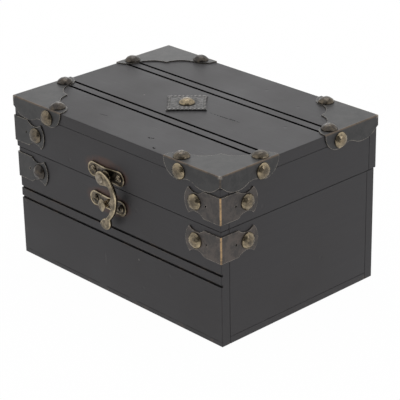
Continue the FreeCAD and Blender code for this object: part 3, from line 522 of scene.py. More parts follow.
@dataclass(frozen=True)
class Woven:
    """Cloth woven round the upright axis, with threads, colour drift and, if wanted, a band."""

    name: str
    thread: Colour
    shade: Colour
    threads: float
    band: Colour | None = None
    band_levels: Pair = (0.0, 0.0)

    def material(self) -> Finish:
        """Builds the finish."""
        kit = Shader(self.name)
        x, y, z = kit.axes()
        around = kit.node("ShaderNodeMath", {"operation": "ARCTAN2"}, {0: y, 1: x})
        across = (x * x + y * y) ** 0.5
        warp = (around * self.threads).sine()
        weft = ((z * 0.6 + across) * 9.0).sine()
        weave = warp * weft * 0.5 + 0.5
        cloud = kit.noise(60.0, 5.0)
        fuzz = kit.noise(1500.0, 2.0)
        lit = (weave * 0.45 + cloud * 0.6 + fuzz * 0.2).step(0.3, 0.95)
        colour = kit.mix(lit, self.shade, self.thread)
        if self.band:
            low, high = self.band_levels
            trim = z.step(low - 0.2, low + 0.2) * z.step(high + 0.2, high - 0.2)
            colour = kit.mix(trim * (weave * 0.3 + 0.7), colour, self.band)
        rough = 0.82 + fuzz * 0.12
        return kit.dress(
            Base_Color=colour, Roughness=rough, Sheen_Weight=0.25,
            Normal=kit.bump(weave + fuzz * 0.6, 0.18, 0.7))


@dataclass(frozen=True)
class Felt:
    """Pressed felt: matted fibres and a soft bloom."""

    name: str
    thread: Colour
    shade: Colour

    def material(self) -> Finish:
        """Builds the finish."""
        kit = Shader(self.name)
        mat = kit.noise(700.0, 6.0, 0.75)
        cloud = kit.noise(70.0, 4.0)
        colour = kit.mix((mat * 0.7 + cloud * 0.5).step(0.4, 0.85), self.shade, self.thread)
        return kit.dress(
            Base_Color=colour, Roughness=0.88 + mat * 0.1, Sheen_Weight=0.3,
            Normal=kit.bump(mat, 0.25, 0.8))


@dataclass(frozen=True)
class GlossPaint:
    """Brushed gloss paint, a little uneven."""

    name: str
    colour: Colour
    shade: Colour

    def material(self) -> Finish:
        """Builds the finish."""
        kit = Shader(self.name)
        brush = kit.noise((160.0, 160.0, 900.0), 4.0)
        cloud = kit.noise(90.0, 4.0)
        colour = kit.mix((brush * 0.4 + cloud * 0.6).step(0.35, 0.7), self.shade, self.colour)
        return kit.dress(
            Base_Color=colour, Roughness=0.28 + brush * 0.14, Coat_Weight=0.3,
            Normal=kit.bump(brush, 0.04, 0.5))


@dataclass(frozen=True)
class PaintedFace:
    """Skin-toned paint on turned wood, with plain painted eyes, brows, cheeks and lips."""

    name: str
    middle: Point
    skin: Colour = (0.80, 0.50, 0.33)
    blush: Colour = (0.74, 0.20, 0.14)
    lips: Colour = (0.52, 0.045, 0.04)
    ink: Colour = (0.035, 0.022, 0.018)
    iris: Colour = (0.10, 0.20, 0.34)
    skin_shade: Colour = (0.70, 0.40, 0.25)
    white: Colour = (0.80, 0.78, 0.74)
    glint: Colour = (0.9, 0.9, 0.9)
    crack: Colour = (0.42, 0.24, 0.14)
    cheek: Pair = (9.2, -4.6)
    eye: Pair = (5.9, 3.0)
    iris_place: Pair = (5.7, 2.9)
    brow: Pair = (6.0, 6.9)
    mouth_level: float = -8.8

    def material(self) -> Finish:
        """Builds the finish."""
        kit = Shader(self.name)
        x, y, z = kit.axes()
        x, z = x - self.middle[0], z - self.middle[2]
        front = y.step(-2.0, -6.0)
        side = x.size()
        brush = kit.noise((260.0, 260.0, 700.0), 4.0)

        def spot(across: Socket, up: Socket, wide: float, tall: float, soft: float = 0.12) -> Socket:
            """An oval patch about a point, 1 inside and 0 outside."""
            far_x, far_z = across / wide, up / tall
            return (far_x * far_x + far_z * far_z).step(1.0 + soft, 1.0 - soft) * front

        tone = kit.mix(brush.step(0.3, 0.7) * 0.35, self.skin, self.skin_shade)
        cheek = spot(side - self.cheek[0], z - self.cheek[1], 4.6, 4.0, 0.9)
        tone = kit.mix(cheek * 0.75, tone, self.blush)
        eye_x, eye_z = self.eye
        iris_x, iris_z = side - self.iris_place[0], z - self.iris_place[1]
        white = spot(side - eye_x, z - eye_z, 2.9, 2.0)
        tone = kit.mix(spot(side - eye_x, z - eye_z - 0.1, 3.3, 2.45), tone, self.ink)
        tone = kit.mix(white, tone, self.white)
        tone = kit.mix(white * spot(iris_x, iris_z, 1.55, 1.75), tone, self.iris)
        tone = kit.mix(white * spot(iris_x, iris_z, 0.8, 0.85), tone, self.ink)
        tone = kit.mix(spot(iris_x + 0.4, iris_z - 0.7, 0.32, 0.32), tone, self.glint)
        off_brow = side - self.brow[0]
        brow_line = z - self.brow[1] + off_brow * off_brow * 0.07
        brow = (brow_line.size() + off_brow.size() * 0.10).step(0.95, 0.60)
        tone = kit.mix(brow * off_brow.size().step(4.2, 3.4) * front, tone, self.ink)
        curve = z - self.mouth_level - x * x * 0.055
        upper = (curve - 0.9 + (side - 1.6).size() * 0.30).size() + side * 0.13
        mouth = upper.step(1.45, 1.15) * side.step(6.2, 5.6)
        tone = kit.mix(mouth * front, tone, self.lips)
        parting = curve.size().step(0.28, 0.14) * side.step(6.6, 5.8)
        tone = kit.mix(parting * front, tone, self.ink)
        crack = kit.pits(150.0).step(0.05, 0.02)
        tone = kit.mix(crack * 0.3, tone, self.crack)
        return kit.dress(
            Base_Color=tone, Roughness=0.34 + brush * 0.14, Coat_Weight=0.25,
            Normal=kit.bump(brush, 0.05, 0.5))


# Hand tools


class Bench:
    """The modelling steps that every piece is made with."""

    @staticmethod
    def clear() -> None:
        """Leaves edit mode and deselects everything."""
        if bpy.context.object and bpy.context.object.mode != "OBJECT":
            bpy.ops.object.mode_set(mode="OBJECT")
        bpy.ops.object.select_all(action="DESELECT")

    @staticmethod
    def grab(item: Item) -> None:
        """Makes one object the only selected and the active one."""
        Bench.clear()
        item.select_set(True)
        bpy.context.view_layer.objects.active = item

    @staticmethod
    @contextmanager
    def editing(item: Item) -> Iterator[None]:
        """Edit mode on one object, with all of it selected."""
        Bench.grab(item)
        bpy.ops.object.mode_set(mode="EDIT")
        bpy.ops.mesh.select_all(action="SELECT")
        yield
        bpy.ops.object.mode_set(mode="OBJECT")

    @staticmethod
    def pick(item: Item, kind: Pick, test: Callable) -> None:
        """Selects by place, in edit mode.

        Args:
            item: the object in edit mode.
            kind: edges or faces.
            test: says which of them to select.
        """
        bpy.ops.mesh.select_mode(type=kind.value)
        bpy.ops.mesh.select_all(action="DESELECT")
        mesh = bmesh.from_edit_mesh(item.data)
        for element in mesh.edges if kind is Pick.EDGE else mesh.faces:
            if test(element):
                element.select_set(True)
        mesh.select_flush_mode()
        bmesh.update_edit_mesh(item.data)

    @staticmethod
    def reshape(item: Item, move: Callable[[Vector], Vector]) -> None:
        """Moves each vertex by a rule."""
        for vertex in item.data.vertices:
            vertex.co = move(vertex.co)
        item.data.update()

    @staticmethod
    def modify(item: Item, kind: str, **settings: object) -> None:
        """Adds one modifier with its settings and applies it."""
        Bench.grab(item)
        modifier = item.modifiers.new(kind.lower(), kind)
        for name, value in settings.items():
            setattr(modifier, name, value)
        bpy.ops.object.modifier_apply(modifier=modifier.name)

    @staticmethod
    def draw_up(height: float) -> None:
        """Draws what is selected upwards, in edit mode."""
        bpy.ops.mesh.extrude_region_move(TRANSFORM_OT_translate={"value": (0, 0, height)})

    @staticmethod
    def lift(item: Item, height: float) -> None:
        """Moves a piece upwards in its mesh."""
        Bench.reshape(item, lambda v: Vector((v.x, v.y, v.z + height)))

    @staticmethod
    def ball(radius: float, segments: int, rings: int) -> Item:
        """A ball to start from."""
        Bench.clear()
        bpy.ops.mesh.primitive_uv_sphere_add(segments=segments, ring_count=rings, radius=radius)
        return bpy.context.object

    @staticmethod
    def ring(radius: float, level: float, sides: int, filled: bool = False) -> Item:
        """A circle to start from, lying flat.

        Args:
            radius: its radius.
            level: its height.
            sides: how many corners it has.
            filled: whether it has a face.

        Returns:
            The new object.
        """
        Bench.clear()
        fill = "NGON" if filled else "NOTHING"
        bpy.ops.mesh.primitive_circle_add(
            vertices=sides, radius=radius, fill_type=fill, location=(0, 0, level))
        bpy.ops.object.transform_apply(location=True, rotation=True, scale=True)
        return bpy.context.object

    @staticmethod
    def lathe(profile: Sequence[Pair], sides: int, close: bool = True) -> Item:
        """A round form drawn up ring by ring from a circle.

        Args:
            profile: radius and height of each ring, from the first to the last.
            sides: how many corners a ring has.
            close: whether the first and last rings are drawn together to a point or filled.

        Returns:
            The new object, about the upright axis.
        """
        (radius, level), *others = profile
        item = Bench.ring(radius, level, sides)
        with Bench.editing(item):
            if close:
                bpy.ops.mesh.edge_face_add()
                bpy.ops.mesh.select_mode(type="FACE")
                bpy.ops.mesh.select_mode(type="EDGE")
            draw = bpy.ops.mesh.extrude_region if close else bpy.ops.mesh.extrude_edges_indiv
            for wide, high in others:
                draw()
                bpy.ops.transform.translate(value=(0, 0, high - level))
                grow = wide / radius
                bpy.ops.transform.resize(value=(grow, grow, 1), center_override=(0, 0, 0))
                radius, level = wide, high
        return item

    @staticmethod
    def handle(item: Item, rule: Callable, layer: str = RUB_AND_HIGHLIGHT) -> None:
        """Writes a share for each vertex, from its place and its normal: wear from rubbing with painted
        highlight, or patina with painted shade.
        """
        shares = item.data.attributes.new(layer, "FLOAT", "POINT")
        for vertex, share in zip(item.data.vertices, shares.data):
            share.value = rule(vertex.co, vertex.normal)

    @staticmethod
    def twin(item: Item, name: str, turn: Matrix) -> Item:
        """A copy with its own mesh, put in place in that mesh."""
        made = item.copy()
        made.data = item.data.copy()
        made.name = name
        made.data.transform(turn)
        bpy.context.scene.collection.objects.link(made)
        return made

    @staticmethod
    def join(items: Sequence[Item]) -> Item:
        """Joins several objects into the first."""
        Bench.clear()
        for item in items:
            item.select_set(True)
        bpy.context.view_layer.objects.active = items[0]
        bpy.ops.object.join()
        return items[0]

    @staticmethod
    def tidy(item: Item, angle: float = 35.0) -> None:
        """Merges doubles, turns the faces outwards and smooths the shading."""
        with Bench.editing(item):
            bpy.ops.mesh.remove_doubles(threshold=1e-7)
            bpy.ops.mesh.normals_make_consistent(inside=False)
        Bench.grab(item)
        bpy.ops.object.shade_smooth_by_angle(angle=math.radians(angle))


def finish_piece(item: Item, name: str, finish: Finish, body: str | None,
                 slot: str, *nodes: str) -> Item:
    """Names and dresses a piece, and ties it to the frame.

    Args:
        item: the modelled piece, with its place in its mesh.
        name: the piece's name.
        finish: its material.
        body: the body it rides on, or None where it is tied by other means.
        slot: the material slot's name; not used.
        nodes: the CAD nodes that it stands for.

    Returns:
        The piece.
    """
    item.name = name
    item.data.name = name
    item.data.materials.clear()
    item.data.materials.append(finish)
    if body:
        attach(item, body)
    if nodes:
        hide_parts(*nodes)
    faces = len(item.data.polygons)
    log.info("%s stands for %s, %d faces", name, ", ".join(nodes) or "nothing", faces)
    return item


def arc(first: Pair, middle: Pair, last: Pair, count: int) -> list[Pair]:
    """Points on the arc through three points, without its first point.

    Args:
        first: where it starts.
        middle: a point on its way.
        last: where it ends.
        count: how many points to give.

    Returns:
        The points, ending with the last.
    """
    (ax, ay), (bx, by), (cx, cy) = first, middle, last
    d = 2 * (ax * (by - cy) + bx * (cy - ay) + cx * (ay - by))
    aa, bb, cc = ax * ax + ay * ay, bx * bx + by * by, cx * cx + cy * cy
    ox = (aa * (by - cy) + bb * (cy - ay) + cc * (ay - by)) / d
    oy = (aa * (cx - bx) + bb * (ax - cx) + cc * (bx - ax)) / d
    start = math.atan2(ay - oy, ax - ox)
    through = (math.atan2(by - oy, bx - ox) - start) % FULL_TURN
    sweep = (math.atan2(cy - oy, cx - ox) - start) % FULL_TURN
    if through > sweep:
        sweep -= FULL_TURN
    radius = math.hypot(ax - ox, ay - oy)
    angles = [start + sweep * (i + 1) / count for i in range(count)]
    return [(ox + radius * math.cos(a), oy + radius * math.sin(a)) for a in angles]


def at(x: float, y: float, z: float, facing: Facing = Facing.TOP, spin: float = 0.0) -> Matrix:
    """A place in millimetres, a facing and a spin about it, as a matrix in metres."""
    turn = Matrix.Rotation(spin, 4, "Z")
    return Matrix.Translation(Vector((x, y, z)) * MM) @ facing.value @ turn @ Matrix.Scale(MM, 4)


# Sub-assemblies. Sizes are in millimetres and repeat the part's own.


@dataclass
class Studs:
    """The dome studs: one is hammered out and the rest are copies."""

    radius: float = 5.5
    rim: float = 0.4
    rise: float = 3.0
    lid: Pair = (100.8, 71.3)
    box: Pair = (100.0, 70.5)
    sheet: float = 0.8
    lid_top: float = 117.0
    top_along: float = 40.0
    top_in: float = 5.6
    flange_along: float = 36.0
    flange_drop: float = 6.2
    strap_along: float = 22.4
    lid_strap: float = 94.4
    box_strap: float = 67.6
    medallion: float = -4.8
    sides: int = 40
    rings: int = 9
    rolled: tuple[Pair, ...] = ((0.93, 0.0), (1.0, 0.12), (1.0, 0.4), (0.97, 0.62))
    dome_share: float = 0.95
    tip_share: float = 0.25
    hammer_size: float = 2.1
    hammer_contrast: float = 1.2
    hammer_depth: float = 0.42
    hammer_level: float = 0.35
    # How bright the domes are made: a little wear from rubbing, and a painted reflection that grows towards
    # the rim.
    rub: Pair = (0.2, 0.55)
    corner_spin: Pair = (1.3, 0.7)
    corner_turns: tuple[float, ...] = (1.0, 2.1, 3.3, 4.7)
    strap_turn: float = 1.7
    medallion_spin: float = 0.4
    # How dark the studs are made: those on top get painted shade for the dark they mirror, the others less,
    # and more low at the left.
    top_shade: float = 0.80
    aged_side: float = 0.08
    left_darkening: float = 0.70
    low_darkening: float = 0.012
    aged_chance: float = 0.12
    middle_reach: float = 20.0

    def one(self) -> Item:
        """Models one stud: a hammered dome over a rolled rim."""
        bow = (self.radius ** 2 + self.rise ** 2) / (2 * self.rise)
        profile = [(self.radius * share, level) for share, level in self.rolled]
        for step in range(1, self.rings + 1):
            wide = self.radius * self.dome_share * (1 - step / (self.rings + self.tip_share))
            profile.append((wide, self.rim + self.rise - bow + math.sqrt(bow * bow - wide * wide)))
        item = Bench.lathe(profile, self.sides)
        texture = bpy.data.textures.new("hammer_marks", "VORONOI")
        texture.noise_scale = self.hammer_size
        texture.noise_intensity = self.hammer_contrast
        Bench.modify(item, "DISPLACE", texture=texture, strength=self.hammer_depth,
                     mid_level=self.hammer_level, texture_coords="LOCAL")
        top = self.rim + self.rise
        Bench.reshape(item, lambda v: Vector((v.x, v.y, min(max(v.z, 0.0), top))))
        Bench.reshape(item, self.inside)
        Bench.tidy(item, 30.0)
        Bench.handle(item, self.rub_and_highlight)
        return item

    def rub_and_highlight(self, v: Vector, _: Vector) -> float:
        """How bright the dome is made: a little wear from rubbing, a painted reflection growing towards its
        edge, and nothing under it.
        """
        least, more = self.rub
        return least + more * (math.hypot(v.x, v.y) / self.radius) ** 2 if v.z > 0.2 else 0.0

    def inside(self, v: Vector) -> Vector:
        """Keeps a hammered point within the stud's own radius."""
        wide = math.hypot(v.x, v.y)
        scale = min(1.0, self.radius / wide) if wide else 1.0
        return Vector((v.x * scale, v.y * scale, v.z))

    def lid_corner_places(self) -> list[Matrix]:
        """The sixteen places on the lid's corners."""
        wide, deep = self.lid
        places = []
        for right in (-1, 1):
            for back in (-1, 1):
                spin = self.corner_spin[0] * right + self.corner_spin[1] * back
                top = self.lid_top + self.sheet
                level = self.lid_top - self.flange_drop
                side = Facing.RIGHT if right > 0 else Facing.LEFT
                face = Facing.BACK if back > 0 else Facing.FRONT
                spots = (
                    (wide - self.top_along, deep - self.top_in, top, Facing.TOP),
                    (wide - self.top_in, deep - self.top_along, top, Facing.TOP),
                    (wide - self.flange_along, deep + self.sheet, level, face),
                    (wide + self.sheet, deep - self.flange_along, level, side),
                )
                for (x, y, z, facing), turns in zip(spots, self.corner_turns):
                    places.append(at(x * right, y * back, z, facing, spin * turns))
        return places

    def strap_places(self, half: Pair, level: float) -> list[Matrix]:
        """The four places on a pair of straps."""
        wide, deep = half
        places = []
        for right in (-1, 1):
            side = Facing.RIGHT if right > 0 else Facing.LEFT
            spin = level * right
            places += [
                at((wide - self.strap_along) * right, -deep - self.sheet, level, Facing.FRONT, spin),
                at((wide + self.sheet) * right, self.strap_along - deep, level, side,
                   spin * self.strap_turn),
            ]
        return places

    def age(self, place: Matrix, index: int) -> float:
        """How dark a stud is made: darkest on top, as painted shade for the dark the domes mirror there,
        darker low at the left, with a little chance.

        Args:
            place: where the stud sits and how it faces.
            index: its number in its group, which the chance depends on.

        Returns:
            0 for a bright stud and 1 for a black one.
        """
        x, y, z = place.translation / MM
        up = (place.to_3x3() @ Vector((0, 0, 1))).z / MM
        on_top = up > 0.5 and abs(x) > self.middle_reach
        low = max(0.0, self.lid_top + 1.0 - z)
        left = max(0.0, -x) / self.box[0] * (self.left_darkening + self.low_darkening * low)
        chance = self.aged_chance * math.sin(index * 2.3 + y * 0.1)
        # Studs that face up are painted darker, as shade for the dark they mirror.
        by_facing = self.top_shade if on_top else self.aged_side
        return max(0.0, min(1.0, by_facing + left + chance))

    def build(self, finish: Finish) -> None:
        """Copies the stud to its places and ties each group to its body."""
        pattern = self.one()
        top = self.lid_top + self.sheet
        middle = at(self.medallion, 0, top, Facing.TOP, self.medallion_spin)
        groups = {
            "lid_corner_studs": ("lid", self.lid_corner_places()),
            "lid_strap_studs": ("lid", self.strap_places(self.lid, self.lid_strap)),
            "box_strap_studs": ("box", self.strap_places(self.box, self.box_strap)),
            "medallion_stud": ("lid", [middle]),
        }
        for node, (body, places) in groups.items():
            copies = []
            for index, place in enumerate(places):
                copies.append(Bench.twin(pattern, f"{node}_{index}", place))
                age = self.age(place, index)
                Bench.handle(copies[-1], lambda *_: age, SHADE_AND_PATINA)
            group = Bench.join(copies)
            finish_piece(group, f"hammered_{node}", finish, body, "antique_brass", node)
        bpy.data.objects.remove(pattern)


@dataclass
class Medallion:
    """The square plate set cornerwise on the lid, with embossed rays and a beaded border."""

    shift: float = -4.8
    half: float = 19.3
    level: float = 117.0
    sheet: float = 0.8
    border: float = 2.4
    border_rise: float = 0.45
    rays: int = 20
    ray_rise: float = 0.55
    cells: int = 72
    beads: int = 9
    bead: float = 1.18
    bead_form: Point = (1.25, 0.78, 0.62)
    bead_seat: float = 0.1
    bead_slant: float = 0.9
    bead_rub: float = 0.50
    pinch: float = 0.045
    dark_ring: float = 7.2
    swell_at: float = 9.4
    swell_half: float = 2.0
    swell_rise: float = 0.25
    ground_edge: float = 0.8
    rim_half: float = 0.7
    plate_rub: Pair = (0.12, 0.5)

    @property
    def side(self) -> float:
        """Half the length of the plate's side."""
        return self.half / math.sqrt(2)

    def inward(self, v: Vector) -> float:
        """How far inside the plate's edge a point lies."""
        return self.side - max(abs(v.x), abs(v.y))

    def relief(self, v: Vector) -> Vector:
        """The embossed height over a point of the plate."""
        inward = self.inward(v)
        wide = math.hypot(v.x, v.y)
        swell = math.exp(-((wide - self.swell_at) / self.swell_half) ** 2)
        wave = 0.5 + 0.5 * math.cos(self.rays * math.atan2(v.y, v.x))
        ground = max(0.0, min(1.0, (inward - self.border) / self.ground_edge))
        rays = self.ray_rise * swell * wave * ground + self.swell_rise * swell * ground
        rim = self.border_rise * max(0.0, 1 - abs(inward - self.border) / self.rim_half)
        return Vector((v.x, v.y, v.z + rays + rim))

    def bead_and_stud_shade(self, v: Vector, _: Vector) -> float:
        """How dark the plate is painted: painted shade under the border's beads and round the stud."""
        under_beads = self.inward(v) < self.border - 0.2
        return 1.0 if under_beads or math.hypot(v.x, v.y) < self.dark_ring else 0.0

    def drawn_in(self, v: Vector) -> Vector:
        """Draws in the middle of the plate's sides, so that its corners stand out."""
        in_x = 1 - self.pinch * (1 - (v.y / self.side) ** 2)
        in_y = 1 - self.pinch * (1 - (v.x / self.side) ** 2)
        return Vector((v.x * in_x, v.y * in_y, v.z))

    def bead_row(self) -> list[Item]:
        """The slanting beads of the border."""
        line = self.side - self.border / 2
        Bench.clear()
        bpy.ops.mesh.primitive_ico_sphere_add(subdivisions=2, radius=1.0)
        bead = bpy.context.object
        long, wide, high = self.bead_form
        size = self.bead
        Bench.reshape(bead, lambda v: Vector((v.x * size * long, v.y * size * wide, v.z * high)))
        Bench.handle(bead, lambda v, _: self.bead_rub if v.z > 0.2 else 0.0)
        slant = Matrix.Rotation(self.bead_slant, 4, "Z")
        made = []
        for quarter in range(4):
            around = Matrix.Rotation(quarter * math.pi / 2, 4, "Z")
            for index in range(self.beads):
                along = line * (2 * (index + 0.5) / self.beads - 1)
                seat = Matrix.Translation((along, -line, self.sheet + self.bead_seat))
                made.append(Bench.twin(bead, f"bead_{quarter}_{index}", around @ seat @ slant))
        bpy.data.objects.remove(bead)
        return made

    def build(self, finish: Finish) -> None:
        """Models the plate, sets the beads on it and seats it on the lid."""
        Bench.clear()
        bpy.ops.mesh.primitive_grid_add(
            x_subdivisions=self.cells, y_subdivisions=self.cells, size=self.half * math.sqrt(2))
        plate = bpy.context.object
        Bench.reshape(plate, self.relief)
        with Bench.editing(plate):
            Bench.draw_up(self.sheet)
        Bench.tidy(plate, 40.0)
        least, more = self.plate_rub
        raised = self.sheet + self.swell_rise
        Bench.handle(plate, lambda v, _: least + more * max(0.0, v.z - raised))
        # Painted shade, black round the stud and under the beads.
        Bench.handle(plate, self.bead_and_stud_shade, SHADE_AND_PATINA)
        item = Bench.join([plate, *self.bead_row()])
        Bench.reshape(item, self.drawn_in)
        item.data.transform(at(self.shift, 0, self.level, Facing.TOP, math.pi / 4))
        Bench.tidy(item, 40.0)
        finish_piece(item, "embossed_medallion", finish, "lid", "bronze_sheet", "medallion_plate")


@dataclass
class Clasp:
    """The hook plate, the swinging hook and the catch."""

    shift: float = -5.5
    lid_face: float = -71.3
    box_face: float = -70.5
    hook_plate: float = 88.1
    catch_plate: float = 67.0
    reach: float = 12.6
    radius: float = 5.3
    thick: float = 1.2
    lip: float = 0.95
    dish: float = 0.55
    waist: float = 0.80
    pivot_drop: float = 1.9
    boss: float = 4.2
    boss_rise: float = 4.4
    hook_gap: float = 0.15
    hook_thick: float = 2.2
    hook_bevel: float = 0.85
    bud: tuple[float, float, float, float] = (3.6, 4.4, 4.5, 1.45)
    post: Point = (2.0, 2.6, 4.8)
    lip_step: float = 0.35
    lip_round: float = 0.28
    lip_rub: float = 0.55
    waist_power: float = 1.5
    boss_foot: tuple[Pair, ...] = ((0.0, 0.6), (0.15, 1.0), (0.55, 1.2))
    boss_top: tuple[Pair, ...] = ((0.55, 0.25), (0.8, 0.0))
    boss_rub: float = 0.5
    post_foot: Pair = (0.1, 1.4)
    post_neck: tuple[Pair, Pair] = ((0.82, 2.2), (0.8, 0.6))
    post_rub: float = 0.8
    bud_power: float = 0.55
    bud_thin: float = 0.55
    bud_crease: Pair = (0.22, 0.5)
    bud_rub: Pair = (0.35, 0.5)
    hook_back: float = 0.25
    # A little wear on the hook's flat front, then the painted highlight on its rounding and how much it
    # leans to the upper right.
    hook_rub_and_highlight_levels: Point = (0.25, 0.65, 0.4)
    outline: list = field(default_factory=lambda: [
        ((-4.5, 0.0), (2.6, 4.9)), ((10.7, -0.3), (15.0, -8.6)), ((14.6, -16.6), (8.2, -27.0)),
        ((8.8, -30.3),), ((4.4, -35.1), (-1.6, -31.9)), ((0.6, -28.7), (4.2, -26.8)),
        ((8.2, -21.8), (9.9, -17.7)), ((7.7, -14.4),), ((10.0, -7.4), (7.0, -3.6)), ((0.0, -4.5),)])
    arc_points: int = 12

    def plate(self) -> Item:
        """A waisted plate with a raised lip round a dished face."""
        item = Bench.ring(self.radius, 0.0, 64, True)

        def drawn_out(v: Vector) -> Vector:
            """Parts the two halves of the disc."""
            x = v.x + math.copysign(self.reach, v.x) if abs(v.x) > 1e-6 else 0.0
            return Vector((x, v.y, v.z))

        Bench.reshape(item, drawn_out)
        with Bench.editing(item):
            bpy.ops.mesh.subdivide(number_cuts=1)
        Bench.reshape(item, self.waisted)
        with Bench.editing(item):
            Bench.draw_up(self.thick)
            top = self.thick - 1e-4
            Bench.pick(item, Pick.FACE, lambda f: f.calc_center_median().z > top)
            bpy.ops.mesh.inset(thickness=self.lip_step, depth=0.0)
            bpy.ops.mesh.inset(thickness=self.lip - self.lip_step, depth=0.0)
            bpy.ops.mesh.inset(thickness=self.lip_step, depth=-self.dish)
        Bench.modify(item, "BEVEL", width=self.lip_round, segments=2, limit_method="ANGLE",
                     angle_limit=math.radians(40))
        Bench.tidy(item, 50.0)
        Bench.handle(item, lambda v, _: self.lip_rub if v.z > self.thick - 0.2 else 0.0)
        return item

    def waisted(self, v: Vector) -> Vector:
        """Pulls a point of a plate towards the long axis by how near the middle it is."""
        near = max(0.0, math.cos(min(1.0, abs(v.x) / self.reach) * math.pi / 2))
        share = 1 - (1 - self.waist) * near ** self.waist_power
        return Vector((v.x, v.y * share, v.z))

    def boss_and_plate(self, finish: Finish) -> None:
        """The upper plate with the boss that the hook turns on."""
        item = self.plate()
        base = self.thick - self.dish
        profile = [(self.boss, 0.1)]
        profile += [(self.boss - inward, base + up) for inward, up in self.boss_foot]
        profile += [(self.boss - inward, self.boss_rise - down) for inward, down in self.boss_top]
        boss = Bench.lathe(profile, 40)
        Bench.reshape(boss, lambda v: Vector((v.x, v.y - self.pivot_drop, v.z)))
        Bench.tidy(boss, 50.0)
        Bench.handle(boss, lambda v, _: self.boss_rub if v.z > base else 0.0)
        item = Bench.join([item, boss])
        item.data.transform(at(self.shift, self.lid_face, self.hook_plate, Facing.FRONT))
        finish_piece(item, "clasp_upper_plate", finish, "lid", "antique_brass", "hook_plate")

    def catch(self, finish: Finish) -> None:
        """The lower plate with its post and bud-shaped catch."""
        item = self.plate()
        wide, tall, rise = self.post
        foot, shoulder = self.post_foot
        (low_share, low), (high_share, below) = self.post_neck
        post = Bench.lathe([
            (wide, foot), (wide, shoulder), (wide * low_share, low),
            (wide * high_share, rise - below), (wide, rise + below)], 28)
        Bench.reshape(post, lambda v: Vector((v.x, v.y * tall / wide, v.z)))
        Bench.tidy(post, 50.0)
        Bench.handle(post, lambda *_: self.post_rub)
        bud = Bench.ball(1.0, 32, 20)
        Bench.reshape(bud, self.bud_form)
        *_, deep = self.bud
        Bench.lift(bud, rise + deep)
        Bench.tidy(bud, 60.0)
        least, more = self.bud_rub
        Bench.handle(bud, lambda _, n: least + more * max(0.0, 1 - 1.2 * n.z))
        item = Bench.join([item, post, bud])
        item.data.transform(at(self.shift, self.box_face, self.catch_plate, Facing.FRONT))
        finish_piece(item, "clasp_catch", finish, "box", "antique_brass", "catch_plate")

    def bud_form(self, v: Vector) -> Vector:
        """Draws a ball into a bud: round above, pointed and hollow-sided below."""
        half, top, tip, deep = self.bud
        depth, spread = self.bud_crease
        up = v.y
        width = half * (1.0 if up > 0 else (1 + up) ** self.bud_power if up > -1 else 0.0)
        crease = depth * math.exp(-((v.x * half) / spread) ** 2) if v.z > 0 else 0.0
        level = math.sqrt(max(1e-6, 1 - up * up))
        round_x = v.x / max(1e-6, level) if abs(up) < 0.999 else 0.0
        x = round_x * width * math.sqrt(max(0.0, 1 - max(up, 0.0) ** 2))
        y = up * (top if up > 0 else tip)
        z = v.z * deep * (1.0 if up > 0 else self.bud_thin + (1 - self.bud_thin) * (1 + up))
        return Vector((x, y, z - crease))

    def hook(self, finish: Finish) -> None:
        """The crescent hook with its fishtail end, rounded over its front."""
        points: list[Pair] = []
        last = self.outline[-1][-1]
        for step in self.outline:
            if len(step) == 1:
                points.append(step[0])
            else:
                points += arc(last, step[0], step[1], self.arc_points)
            last = step[-1]
        item = Bench.ring(1.0, 0.0, len(points), True)
        for vertex, (x, y) in zip(item.data.vertices, points):
            vertex.co = (x, y, 0.0)
        with Bench.editing(item):
            bpy.ops.mesh.normals_make_consistent(inside=False)
            Bench.draw_up(self.hook_thick)
        front = self.hook_thick - 1e-4

        def front_edge(edge: bmesh.types.BMEdge) -> bool:
            """Whether an edge runs round the front."""
            faces = edge.link_faces
            beside_wall = len(faces) == 2 and any(len(f.verts) == 4 for f in faces)
            return beside_wall and all(v.co.z > front for v in edge.verts)

        with Bench.editing(item):
            for test, width, steps in (
                    (front_edge, self.hook_bevel, 4),
                    (lambda edge: all(v.co.z < 1e-4 for v in edge.verts), self.hook_back, 2)):
                Bench.pick(item, Pick.EDGE, test)
                bpy.ops.mesh.bevel(offset=width, segments=steps, profile=0.5, clamp_overlap=True)
        Bench.tidy(item, 50.0)
        Bench.handle(item, self.hook_rub_and_highlight)
        with Bench.editing(item):
            bpy.ops.mesh.quads_convert_to_tris()
        y = self.lid_face - self.boss_rise - self.hook_gap
        item.data.transform(at(self.shift, y, self.hook_plate - self.pivot_drop, Facing.FRONT))
        finish_piece(item, "crescent_hook", finish, "hook", "antique_brass", "clasp_hook")

    def hook_rub_and_highlight(self, _: Vector, n: Vector) -> float:
        """How bright the hook is made: a little wear on its flat front, and a painted highlight on the
        rounding, strongest on its upper right.
        """
        flat, least, lean = self.hook_rub_and_highlight_levels
        if n.z >= 0.93:
            return flat
        return least + lean * (n.x + n.y) if n.z > 0.15 else 0.0

    def build(self, finish: Finish) -> None:
        """Models the three pieces."""
        self.boss_and_plate(finish)
        self.catch(finish)
        self.hook(finish)


